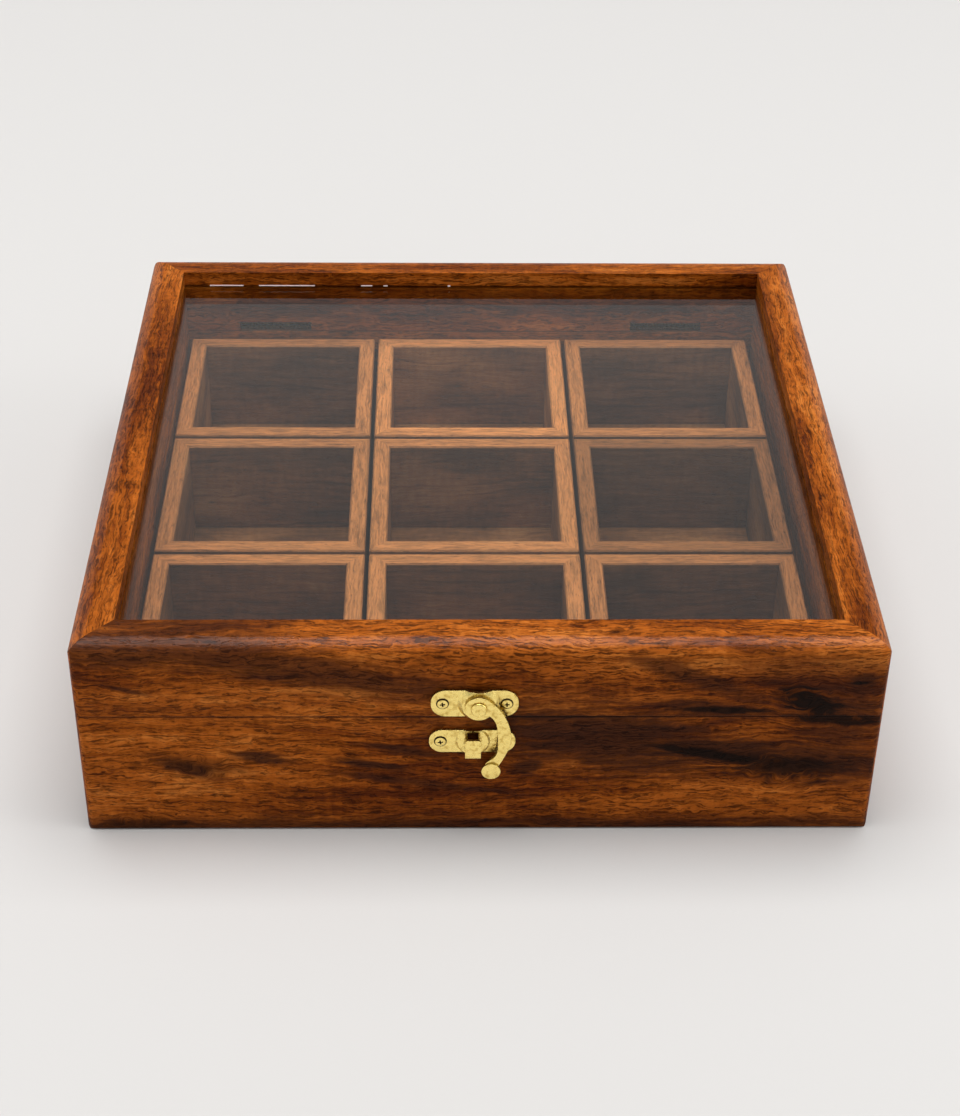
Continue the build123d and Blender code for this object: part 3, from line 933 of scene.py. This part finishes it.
@dataclass
class Containers:
    """The nine loose containers, each of four mitred boards round a thin bottom.

    The tones say how much paler or darker each container is drawn than its timber, in the order of the rows
    and columns; they are judged, and the darker right-hand column is painted shade from the lid's right rail.
    A board's rim is sanded where its faces turn upwards.
    """

    rows: tuple[str, ...] = ("front", "middle", "back")
    columns: tuple[str, ...] = ("left", "centre", "right")
    # Partly each container's own tone; the darker right-hand column is painted shade
    tones: tuple[Corner, ...] = ((0.0, -0.05, -0.18), (-0.05, 0.0, -0.4), (0.05, 0.32, -0.05))
    thickness: float = 5.5 * MM
    rebate_width: float = 2.5 * MM
    rebate_height: float = 3.0 * MM
    ease: float = 0.45 * MM
    corner_radius: float = 0.6 * MM
    tone_spread: float = 0.07
    tone_seed: int = 11
    station_count: int = 8
    rim_faces: tuple[float, float] = (0.5, 0.9)

    def build(self) -> None:
        """Grow the containers' boards, and dress their bottoms."""
        growth = self.board_pair()
        ends = BARE_SHEESHAM.material("bare_sheesham_ends", Grain.ALONG_X, (90.0, 30.0, 10.0))
        sides = BARE_SHEESHAM.material("bare_sheesham_sides", Grain.ALONG_Y, (530.0, 80.0, 40.0))
        groups = (("end_boards", 0.0, ends), ("side_boards", pi / 2, sides))
        tones = {
            f"container_{row}_{column}": tone
            for row, level in zip(self.rows, self.tones)
            for column, tone in zip(self.columns, level)
        }
        for number, (body, tone) in enumerate(tones.items()):
            for second, (group, turn, material) in enumerate(groups):
                node = f"{body}_{group}"
                low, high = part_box(node)
                centre = (Vector(low) + Vector(high)) / 2
                values = {
                    **named_sizes(self),
                    "Length": high[0] - low[0],
                    "Height": high[2] - low[2],
                    "Foot": (centre.x, centre.y, low[2]),
                    "Turn": turn,
                    "Tone": tone,
                    "Seed": 2 * number + second,
                    "Material": material,
                }
                settle(growth.grow(f"{node}_wood", values), body, "container_wood", node)
            dress(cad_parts[f"{body}_bottom"], ends)

    def board_pair(self) -> Growth:
        """Build the tree that grows two opposite boards of a container.

        Returns:
            The tree.
        """
        inputs = {**named_sizes(self), **dict.fromkeys(("Length", "Height", "Turn", "Tone"), 0.0)}
        nodes = Growth("container_boards", {**inputs, "Foot": (0.0, 0.0, 0.0), "Seed": 0})
        inputs = {0: self.stations(nodes), 1: self.section(nodes), "Fill Caps": True}
        board = self.mitre(nodes, nodes.add("GeometryNodeCurveToMesh", inputs))
        opposite = nodes.add(MOVE, {"Geometry": board, "Rotation": (0.0, 0.0, pi)})
        inputs = {
            "Geometry": nodes.add("GeometryNodeJoinGeometry", [board, opposite]),
            "Translation": nodes.given["Foot"],
            "Rotation": nodes.add(JOIN, {2: nodes.given["Turn"]}),
        }
        nodes.finish(self.weathered(nodes, nodes.add(MOVE, inputs)))
        return nodes

    def section(self, nodes: Growth) -> Node:
        """Draw a board's section: outer face at x 0, foot at y 0, and a rebate for the bottom.

        Args:
            nodes: The boards' tree.

        Returns:
            The closed curve.
        """
        given = nodes.given
        inside = nodes.add(MATH, given["Thickness"], -1.0, operation="MULTIPLY")
        lapped = nodes.add(MATH, given["Rebate Width"], inside, operation="ADD")
        top, step = given["Height"], given["Rebate Height"]
        corners = ((0.0, 0.0), (0.0, top), (inside, top), (inside, step), (lapped, step), (lapped, 0.0))
        choice = nodes.add("GeometryNodeIndexSwitch", nodes.add("GeometryNodeInputIndex"), data_type="VECTOR")
        while len(choice.index_switch_items) < len(corners):
            choice.index_switch_items.new()
        for number, corner in enumerate(corners):
            nodes.tree.links.new(nodes.add(JOIN, *corner).outputs[0], choice.inputs[1 + number])
        line = nodes.add("GeometryNodeMeshLine", {"Count": len(corners)})
        outline = nodes.add("GeometryNodeMeshToCurve", line)
        outline = nodes.add(RESHAPE, {"Geometry": outline, "Position": choice})
        outline = nodes.add("GeometryNodeSetSplineCyclic", {"Geometry": outline, "Cyclic": True})
        inputs = {"Curve": outline, "Radius": given["Ease"], "Limit Radius": True}
        return nodes.add("GeometryNodeFilletCurve", inputs)

    def stations(self, nodes: Growth) -> Node:
        """Draw a board's path, along Z, with extra stations inside its rounded ends.

        Args:
            nodes: The boards' tree.

        Returns:
            The path.
        """
        count = self.station_count
        index = nodes.add("GeometryNodeInputIndex")
        from_end = nodes.add(MATH, count - 1.0, index, operation="SUBTRACT")
        step = nodes.add(MATH, index, from_end, operation="MINIMUM")
        share = nodes.add(MATH, step, count / 2 - 1, operation="DIVIDE")
        back = nodes.add(MATH, share, nodes.given["Corner Radius"], operation="MULTIPLY")
        half = nodes.add(MATH, nodes.given["Length"], 0.5, operation="MULTIPLY")
        reach = nodes.add(MATH, half, back, operation="SUBTRACT")
        side = nodes.add(MATH, index, from_end, operation="SUBTRACT")
        side = nodes.add(MATH, side, operation="SIGN")
        along = nodes.add(MATH, side, reach, operation="MULTIPLY")
        line = nodes.add("GeometryNodeMeshLine", {"Count": count})
        line = nodes.add(RESHAPE, {"Geometry": line, "Position": nodes.add(JOIN, {2: along})})
        return nodes.add("GeometryNodeMeshToCurve", line)

    def mitre(self, nodes: Growth, board: Node) -> Node:
        """Round a board's outer upright corners, mitre its ends, and stand it up as the front one.

        Args:
            nodes: The boards' tree.
            board: The square-ended board along Z, its outer face towards X and its top towards Y.

        Returns:
            The board along X, its outer face towards -Y, at half its length from the centre.
        """
        radius = nodes.given["Corner Radius"]
        out, up, along = nodes.add(SPLIT, nodes.add("GeometryNodeInputPosition")).outputs
        half = nodes.add(MATH, nodes.given["Length"], 0.5, operation="MULTIPLY")
        reach = nodes.add(MATH, along, operation="ABSOLUTE")
        start = nodes.add(MATH, half, radius, operation="SUBTRACT")
        into = nodes.add(MATH, reach, start, operation="SUBTRACT")
        into = nodes.add(MATH, into, 0.0, operation="MAXIMUM")
        eighth = nodes.add(MATH, radius, sin(pi / 4), operation="MULTIPLY")
        into = nodes.add(MATH, into, eighth, operation="MINIMUM")
        whole = nodes.add(MATH, radius, radius, operation="MULTIPLY")
        square = nodes.add(MATH, into, into, operation="MULTIPLY")
        rest = nodes.add(MATH, whole, square, operation="SUBTRACT")
        rest = nodes.add(MATH, rest, operation="SQRT")
        arc = nodes.add(MATH, rest, radius, operation="SUBTRACT")
        out = nodes.add(MATH, out, arc, operation="MINIMUM")
        front = nodes.add(MATH, half, out, operation="ADD")
        reach = nodes.add(MATH, reach, front, operation="MINIMUM")
        side = nodes.add(MATH, along, operation="SIGN")
        along = nodes.add(MATH, side, reach, operation="MULTIPLY")
        across = nodes.add(MATH, along, -1.0, operation="MULTIPLY")
        front = nodes.add(MATH, front, -1.0, operation="MULTIPLY")
        return nodes.add(RESHAPE, {"Geometry": board, "Position": nodes.add(JOIN, across, front, up)})

    def weathered(self, nodes: Growth, boards: Node) -> Node:
        """Store what the timber reads: the pair's tone, painted shade on the right-hand column, and the
        sanded rim.

        Args:
            nodes: The boards' tree.
            boards: The placed boards.

        Returns:
            The boards with their attributes.
        """
        tones = (nodes.given["Tone"], nodes.given["Tone Spread"])
        low = nodes.add(MATH, *tones, operation="SUBTRACT")
        high = nodes.add(MATH, *tones, operation="ADD")
        inputs = {2: low, 3: high, "ID": nodes.given["Seed"], "Seed": self.tone_seed}
        tone = nodes.add("FunctionNodeRandomValue", inputs, data_type="FLOAT").outputs[1]
        rise = nodes.add(SPLIT, nodes.add("GeometryNodeInputNormal")).outputs[2]
        rim = nodes.add(MAP_RANGE, rise, *self.rim_faces)
        for name, level in ((TONE_AND_SHADE, tone), (SANDED, rim)):
            inputs = {"Geometry": boards, "Name": name, "Value": level}
            boards = nodes.add(STORE, inputs, data_type="FLOAT", domain="FACE")
        return boards


@dataclass
class Brasswork:
    """Stamped brass parts with softened edges, and painted shade on the faces that look one way along Y.

    A part is a node and the body that it rides on, and the pins are only dressed.
    """

    parts: tuple[tuple[str, str], ...]
    ease: float
    segments: int
    edge_dirt: float
    dirty_way: float
    dirty_from: float
    pins: tuple[str, ...] = ()

    def build(self, brass: Material) -> None:
        """Make the parts, and dress the pins.

        Args:
            brass: The plating.
        """
        for node, body in self.parts:
            piece = eased_copy(node, f"{node}_brass", self.ease, self.segments)
            # Store painted shade on the faces that look the shaded way
            store(piece, PAINTED_SHADE, self.dirt)
            dress(piece, brass)
            settle(piece, body, "brass", node)
        for pin in self.pins:
            dress(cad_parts[pin], brass)

    def dirt(self, normal: Vector) -> float:
        """How much painted shade a face gets, from 0 to 1, by its normal."""
        return self.edge_dirt * (normal.y * self.dirty_way > self.dirty_from)


@dataclass
class Latch(Brasswork):
    """The hook latch on the front: plates, hook and rivet, with painted shade on the edges that don't face
    forward.
    """

    parts: tuple[tuple[str, str], ...] = (
        ("latch_hook_plate", "lid"),
        ("latch_catch_plate", "base"),
        ("latch_hook", "hook"),
        ("latch_rivet", "lid"),
    )
    ease: float = 0.16 * MM
    segments: int = 3
    edge_dirt: float = 0.5
    dirty_way: float = 1.0
    dirty_from: float = -0.3


@dataclass
class Hinges(Brasswork):
    """The two butt hinges let into the back, with painted shade on the leaves' edges inside the box."""

    parts: tuple[tuple[str, str], ...] = (
        ("hinge_left_base_leaf", "base"),
        ("hinge_left_lid_leaf", "lid"),
        ("hinge_right_base_leaf", "base"),
        ("hinge_right_lid_leaf", "lid"),
    )
    ease: float = 0.1 * MM
    segments: int = 2
    edge_dirt: float = 0.9
    dirty_way: float = -1.0
    dirty_from: float = 0.3
    pins: tuple[str, ...] = ("hinge_left_pin", "hinge_right_pin")


class HeadShape(Enum):
    """How a fastener's head is shaped, and what drives it."""

    ROUND = "domed, with a cross recess"
    COUNTERSUNK = "flush and conical, with a slot"
    FLAT = "a flush disc, driven with a hammer"


# Painted shade lies between two shares of a recess's depth, as far out as a share of its length, and round
# the foot of a dome up to a share of its rise; the dome's power makes it flatter than a ball
SHADE_FROM = 0.6
SHADE_TO = 1.5
SHADE_REACH = 0.55
SHADED_FOOT = 0.6
DOME_POWER = 0.75

# Facets round a head and a shank, and the rings of the ball that a dome is pushed into shape from
HEAD_SIDES = 32
SHANK_SIDES = 20
DOME_RINGS = 18


@dataclass(frozen=True)
class Fastener:
    """A screw or pin, with sizes in metres; rise is how far its head stands above its seat."""

    head: HeadShape
    head_radius: float
    rise: float
    head_depth: float
    shank_radius: float
    shank_length: float
    tip_radius: float
    recess_length: float = 0.0
    recess_width: float = 0.0
    recess_depth: float = 0.0

    def growth(self, name: str) -> Growth:
        """Build the tree that grows this fastener at every point it starts from.

        Args:
            name: The tree's name.

        Returns:
            The tree.
        """
        nodes = Growth(name, {**named_sizes(self), "Axis": (0.0, 0.0, 1.0), "Turn Seed": 0})
        given = nodes.given
        inputs = {
            "Vertices": SHANK_SIDES,
            "Radius Top": given["Tip Radius"],
            "Radius Bottom": given["Shank Radius"],
            "Depth": given["Shank Length"],
        }
        shank = nodes.add("GeometryNodeMeshCone", inputs)
        shank = nodes.add(MOVE, {"Geometry": shank, "Rotation": (pi, 0.0, 0.0)})
        head = self.cut(nodes, self.whole_head(nodes))
        inputs = {
            "Points": given["Geometry"],
            "Instance": nodes.add("GeometryNodeJoinGeometry", [head, shank]),
            "Rotation": nodes.add("FunctionNodeAlignRotationToVector", {"Vector": given["Axis"]}, axis="Z"),
        }
        set_in = nodes.add("GeometryNodeInstanceOnPoints", inputs)
        inputs = {2: 0.0, 3: 2 * pi, "Seed": given["Turn Seed"]}
        angle = nodes.add("FunctionNodeRandomValue", inputs, data_type="FLOAT").outputs[1]
        inputs = {"Instances": set_in, "Rotation": nodes.add(JOIN, {2: angle})}
        nodes.finish(nodes.add("GeometryNodeRotateInstances", inputs))
        return nodes

    def whole_head(self, nodes: Growth) -> Node:
        """Make the head before its recess is cut, standing on z 0 or reaching down from it.

        Args:
            nodes: The fastener's tree.

        Returns:
            The head.
        """
        given = nodes.given
        radius = given["Head Radius"]
        if self.head is not HeadShape.ROUND:
            foot = given["Shank Radius"] if self.head is HeadShape.COUNTERSUNK else radius
            inputs = {
                "Vertices": HEAD_SIDES,
                "Radius Top": foot,
                "Radius Bottom": radius,
                "Depth": given["Head Depth"],
            }
            head = nodes.add("GeometryNodeMeshCone", inputs)
            return nodes.add(MOVE, {"Geometry": head, "Rotation": (pi, 0.0, 0.0)})
        inputs = {"Segments": HEAD_SIDES, "Rings": DOME_RINGS, "Radius": 1.0}
        ball = nodes.add("GeometryNodeMeshUVSphere", inputs)
        parts = nodes.add(SPLIT, nodes.add("GeometryNodeInputPosition")).outputs
        above = nodes.add(MATH, parts[2], 0.0, operation="MAXIMUM")
        full = nodes.add(MATH, above, DOME_POWER, operation="POWER")
        up = nodes.add(MATH, full, given["Rise"], operation="MULTIPLY")
        across = nodes.add(MATH, parts[0], radius, operation="MULTIPLY")
        along = nodes.add(MATH, parts[1], radius, operation="MULTIPLY")
        return nodes.add(RESHAPE, {"Geometry": ball, "Position": nodes.add(JOIN, across, along, up)})

    def cut(self, nodes: Growth, head: Node) -> Node:
        """Cut the driver's recess into the head, and store painted shade in it and round a dome's foot.

        Args:
            nodes: The fastener's tree.
            head: The whole head.

        Returns:
            The cut head.
        """
        if self.head is HeadShape.FLAT:
            return head
        length, width, depth, rise = (
            nodes.given[name] for name in ("Recess Length", "Recess Width", "Recess Depth", "Rise")
        )
        deep = nodes.add(MATH, depth, 2.0, operation="MULTIPLY")
        top = nodes.add(JOIN, {2: rise})
        bars = []
        for across, along in ((length, width), (width, length)):
            bar = nodes.add("GeometryNodeMeshCube", {"Size": nodes.add(JOIN, across, along, deep)})
            bars.append(nodes.add(MOVE, {"Geometry": bar, "Translation": top}))
        crossed = self.head is HeadShape.ROUND
        inputs = {0: head, 1: bars if crossed else bars[:1]}
        cut = nodes.add("GeometryNodeMeshBoolean", inputs, operation="DIFFERENCE", solver="EXACT")
        place = nodes.add("GeometryNodeInputPosition")
        up = nodes.add(SPLIT, place).outputs[2]
        below = nodes.add(MATH, rise, up, operation="SUBTRACT")
        share = nodes.add(MATH, below, depth, operation="DIVIDE")
        flat = nodes.add(VECTOR_MATH, place, (1.0, 1.0, 0.0), operation="MULTIPLY")
        reach = nodes.add(VECTOR_MATH, flat, operation="LENGTH").outputs[1]
        limit = nodes.add(MATH, length, SHADE_REACH, operation="MULTIPLY")
        dirt = nodes.add(MATH, share, SHADE_FROM, operation="GREATER_THAN")
        not_below = nodes.add(MATH, share, SHADE_TO, operation="LESS_THAN")
        inside = nodes.add(MATH, reach, limit, operation="LESS_THAN")
        for also in (not_below, inside):
            dirt = nodes.add(MATH, dirt, also, operation="MULTIPLY")
        if crossed:
            height = nodes.add(MATH, up, rise, operation="DIVIDE")
            ring = nodes.add(MATH, height, SHADED_FOOT, operation="LESS_THAN")
            dirt = nodes.add(MATH, dirt, ring, operation="MAXIMUM")
        inputs = {"Geometry": cut, "Name": PAINTED_SHADE, "Value": dirt}
        return nodes.add(STORE, inputs, data_type="FLOAT", domain="POINT")


LATCH_SCREW = Fastener(
    HeadShape.ROUND, head_radius=1.85 * MM, rise=0.55 * MM, head_depth=0.0, shank_radius=0.9 * MM,
    shank_length=7.0 * MM, tip_radius=0.25 * MM, recess_length=1.5 * MM, recess_width=0.45 * MM,
    recess_depth=0.38 * MM,
)
HINGE_SCREW = Fastener(
    HeadShape.COUNTERSUNK, head_radius=1.9 * MM, rise=0.0, head_depth=0.9 * MM, shank_radius=1.0 * MM,
    shank_length=8.0 * MM, tip_radius=0.3 * MM, recess_length=4.4 * MM, recess_width=0.5 * MM,
    recess_depth=0.35 * MM,
)
FLOOR_PIN = Fastener(
    HeadShape.FLAT, head_radius=1.2 * MM, rise=0.0, head_depth=0.5 * MM, shank_radius=0.6 * MM,
    shank_length=14.0 * MM, tip_radius=0.3 * MM,
)


@dataclass
class Fasteners:
    """Screws and pins, grown at the places of the nodes that they stand for."""

    turn_seed: int = 5

    def build(self, brass: Material, steel: Material) -> None:
        """Grow every group of fasteners.

        Args:
            brass: Material of the screws.
            steel: Material of the floor pins.
        """
        up, down, forward = Vector((0, 0, 1)), Vector((0, 0, -1)), Vector((0, -1, 0))
        groups = {
            "latch_screw": (LATCH_SCREW, brass, "brass", (
                ("latch_hook_plate_screws", "lid", forward), ("latch_catch_plate_screws", "base", forward),
            )),
            "hinge_screw": (HINGE_SCREW, brass, "brass", (
                ("hinge_base_screws", "base", up), ("hinge_lid_screws", "lid", down),
            )),
            "floor_pin": (FLOOR_PIN, steel, "steel_pin", (("base_floor_pins", "base", down),)),
        }
        for name, (fastener, material, slot, rows) in groups.items():
            growth = fastener.growth(name)
            values = {**named_sizes(fastener), "Turn Seed": self.turn_seed, "Material": material}
            for node, body, axis in rows:
                seats = self.seats(node, axis, fastener.rise)
                piece = growth.grow(f"{node}_turned", {**values, "Axis": tuple(axis)}, seats)
                settle(piece, body, slot, node)

    def seats(self, node: str, axis: Vector, rise: float) -> list[Vector]:
        """Find where a node's fasteners sit, one for each separate shell of its mesh.

        Args:
            node: The node whose fasteners are grown anew.
            axis: The way their heads face.
            rise: How far a head stands above its seat.

        Returns:
            The middle of each seat.
        """
        shape = merged_shape(node)
        left = set(shape.verts)
        seats = []
        while left:
            shell, edge = set(), [next(iter(left))]
            while edge:
                vert = edge.pop()
                if vert in left:
                    left.discard(vert)
                    shell.add(vert)
                    edge.extend(link.other_vert(vert) for link in vert.link_edges)
            places = [vert.co for vert in shell]
            low = Vector(min(place[i] for place in places) for i in range(3))
            high = Vector(max(place[i] for place in places) for i in range(3))
            middle = (low + high) / 2
            top = max(place.dot(axis) for place in places)
            seats.append(middle + axis * (top - rise - middle.dot(axis)))
        shape.free()
        return sorted(seats, key=lambda seat: tuple(round(part, 5) for part in seat))


@dataclass
class Pane:
    """The glass, and a broken pale line along its back edge, thinner towards the right: a painted highlight
    for the glint where the glass meets the back rail.

    The last two fields say over which share of the line, and from which to which level of the noise,
    the line gets thinner.
    """

    glass: Glass = Glass()
    glue_colour: str = "D8C6C2"
    bead_radius: float = 0.3 * MM
    step: float = 0.5 * MM
    gap_length: float = 11.0 * MM
    sides: int = 6
    thins_along: tuple[float, float] = (0.0, 0.6)
    thins_from: tuple[float, float] = (0.38, 0.7)

    def build(self) -> None:
        """Dress the glass, and grow the pale line of painted highlight."""
        dress(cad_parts["lid_glass"], self.glass.material())
        # A painted highlight in place of the glint where the glass meets the back rail: pale, a little pink,
        # and dull
        glint_material, nodes = new_material("dried_glue")
        inputs = {"Base Color": linear(self.glue_colour), "Roughness": 0.5}
        nodes.add(SURFACE, nodes.add(PRINCIPLED, inputs))
        left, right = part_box("lid_left_rail")[1][0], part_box("lid_right_rail")[0][0]
        start = (left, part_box("lid_back_rail")[0][1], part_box("lid_glass")[1][2])
        values = {**named_sizes(self), "Start": start, "Length": right - left, "Material": glint_material}
        settle(self.bead().grow("lid_glass_glue", values), "lid", "clear_glass")

    def bead(self) -> Growth:
        """Build the tree that grows a broken bead along X.

        Returns:
            The tree.
        """
        nodes = Growth("glue_bead", {**named_sizes(self), "Length": 0.0, "Start": (0.0, 0.0, 0.0)})
        given = nodes.given
        inputs = {
            "Count": nodes.add(MATH, given["Length"], given["Step"], operation="DIVIDE"),
            "Start Location": given["Start"],
            "Offset": nodes.add(JOIN, given["Step"]),
        }
        line = nodes.add("GeometryNodeMeshLine", inputs)
        place = nodes.add("GeometryNodeInputPosition")
        along = nodes.add(VECTOR_MATH, place, given["Start"], operation="SUBTRACT")
        along = nodes.add(SPLIT, along).outputs[0]
        share = nodes.add(MATH, along, given["Length"], operation="DIVIDE")
        least = nodes.add(MAP_RANGE, share, *self.thins_along, *self.thins_from)
        scale = nodes.add(MATH, 1.0, given["Gap Length"], operation="DIVIDE")
        clumps = nodes.add(NOISE, {"Vector": place, "Scale": scale, "Detail": 3.0})
        bare = nodes.add(MATH, clumps, least, operation="LESS_THAN")
        inputs = {"Geometry": line, "Selection": bare}
        left_over = nodes.add("GeometryNodeDeleteGeometry", inputs, domain="POINT")
        inputs = {"Resolution": self.sides, "Radius": given["Bead Radius"]}
        section = nodes.add("GeometryNodeCurvePrimitiveCircle", inputs)
        inputs = {0: nodes.add("GeometryNodeMeshToCurve", left_over), 1: section, "Fill Caps": True}
        nodes.finish(nodes.add("GeometryNodeCurveToMesh", inputs))
        return nodes


@dataclass
class Studio:
    """Pale floor, plain soft light and the camera at the photograph's place.

    The floor glows where it is far away, as seen by the camera and in glass and metal. The sky has
    heights and levels, and each lamp a name, a place and size in metres, and a power in watts.
    """

    camera_place: Corner = (-12.08, -587.4, 434.7)
    look_down: float = 0.619
    look_right: float = 0.024
    roll: float = 0.014
    focal_pixels: float = 2168.8
    picture_height: int = 1116
    sensor_width: float = 36.0
    clip: tuple[float, float] = (0.01, 50.0)
    floor_size: float = 40.0
    floor_colour: str = "CFCDCB"
    far: tuple[float, float] = (0.1, 1.9)
    far_glow: float = 0.7
    sky: tuple[tuple[float, float], ...] = ((0.0, 0.82), (0.22, 0.74), (0.42, 0.47), (0.62, 0.36), (1.0, 0.5))
    lamp_aim: Corner = (0.0, 0.0, 0.04)
    lamps: tuple[tuple[str, Corner, tuple[float, float], float], ...] = (
        ("lamp_overhead", (0.0, 0.05, 1.3), (1.1, 0.9), 15.5),
        ("lamp_left", (-1.1, -0.1, 0.6), (0.5, 0.8), 2.0),
        ("lamp_right", (1.1, -0.2, 0.7), (0.5, 0.8), 3.0),
    )

    def build(self) -> None:
        """Set up everything around the box."""
        bpy.context.scene.view_settings.view_transform = "Standard"
        self.world()
        self.floor()
        for lamp in self.lamps:
            self.lamp(*lamp)
        self.camera()

    def world(self) -> None:
        """Make the surroundings: pale near the horizon, and dimmer higher up."""
        world = bpy.data.worlds.new("studio")
        bpy.context.scene.world = world
        world.use_nodes = True
        nodes = Nodes(world.node_tree)
        direction = nodes.add("ShaderNodeTexCoord").outputs["Generated"]
        ramp = nodes.add("ShaderNodeValToRGB", nodes.add(SPLIT, direction).outputs[2])
        set_stops(ramp, [(height, (level, level, level, 1.0)) for height, level in self.sky])
        shade = nodes.add("ShaderNodeBackground", {"Color": ramp, "Strength": 1.0})
        nodes.add("ShaderNodeOutputWorld", {"Surface": shade})

    def floor(self) -> None:
        """Make the floor, which isn't part of the box."""
        mesh = bpy.data.meshes.new("studio_floor")
        half = self.floor_size / 2
        corners = [(-half, -half, 0), (half, -half, 0), (half, half, 0), (-half, half, 0)]
        mesh.from_pydata(corners, [], [(0, 1, 2, 3)])
        floor = new_object("studio_floor", mesh)
        # Matt paper: a plain pale grey that shows soft shadows and nearly no gloss
        material, nodes = new_material("pale_paper")
        place = nodes.add("ShaderNodeTexCoord").outputs["Object"]
        reach = nodes.add(VECTOR_MATH, place, operation="LENGTH").outputs[1]
        far = nodes.add(MAP_RANGE, reach, *self.far, 0.0, self.far_glow, interpolation_type="SMOOTHSTEP")
        path = nodes.add("ShaderNodeLightPath").outputs
        seen = path["Is Camera Ray"]
        for ray in ("Is Glossy Ray", "Is Transmission Ray"):
            seen = nodes.add(MATH, seen, path[ray], operation="MAXIMUM")
        inputs = {
            "Base Color": linear(self.floor_colour),
            "Roughness": 0.9,
            "Specular IOR Level": 0.2,
            "Emission Color": linear(self.floor_colour),
            "Emission Strength": nodes.add(MATH, far, seen, operation="MULTIPLY"),
        }
        nodes.add(SURFACE, nodes.add(PRINCIPLED, inputs))
        dress(floor, material)

    def lamp(self, name: str, place: Corner, size: tuple[float, float], power: float) -> None:
        """Make one soft lamp, aimed at the box, whose mirror image is kept off the glass.

        Args:
            name: The lamp's name.
            place: Where it stands, in metres.
            size: Its width and height, in metres.
            power: Its power, in watts.
        """
        data = bpy.data.lights.new(name, "AREA")
        data.shape = "RECTANGLE"
        data.size, data.size_y = size
        data.energy = power
        lamp = new_object(name, data)
        lamp.location = place
        lamp.rotation_mode = "QUATERNION"
        lamp.rotation_quaternion = (Vector(self.lamp_aim) - Vector(place)).to_track_quat("-Z", "Y")
        kept_off = bpy.data.collections.new(f"{name}_kept_off")
        kept_off.objects.link(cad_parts["lid_glass"])
        kept_off.collection_objects[0].light_linking.link_state = "EXCLUDE"
        lamp.light_linking.receiver_collection = kept_off

    def camera(self) -> None:
        """Put the camera where the photograph was taken from, looking the same way."""
        data = bpy.data.cameras.new("camera")
        data.sensor_width = self.sensor_width
        data.lens = data.sensor_width * self.focal_pixels / self.picture_height
        data.clip_start, data.clip_end = self.clip
        level = cos(self.look_down)
        ahead = Vector((sin(self.look_right) * level, cos(self.look_right) * level, -sin(self.look_down)))
        right = Vector((cos(self.look_right), -sin(self.look_right), 0.0))
        down = ahead.cross(right)
        tilt = (cos(self.roll), sin(self.roll))
        right, down = right * tilt[0] - down * tilt[1], right * tilt[1] + down * tilt[0]
        turn = Matrix((right, -down, -ahead)).transposed()
        camera = new_object("camera", data)
        camera.matrix_world = Matrix.Translation(Vector(self.camera_place) * MM) @ turn.to_4x4()
        bpy.context.scene.camera = camera


def main() -> None:
    """Build and dress the whole box, one sub-assembly after another."""
    logging.basicConfig(level=logging.INFO, format="%(message)s")
    Studio().build()
    brass = PLATED_BRASS.material()
    steel = DRAWN_STEEL.material()
    Case().build()
    Containers().build()
    Latch().build(brass)
    Hinges().build(brass)
    Fasteners().build(brass, steel)
    Pane().build()
    floor_ply = BARE_SHEESHAM.material("floor_ply", Grain.ALONG_X, (0.0, 0.0, 0.0))
    dress(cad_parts["base_floor_panel"], floor_ply)


if __name__ == "__main__":
    main()
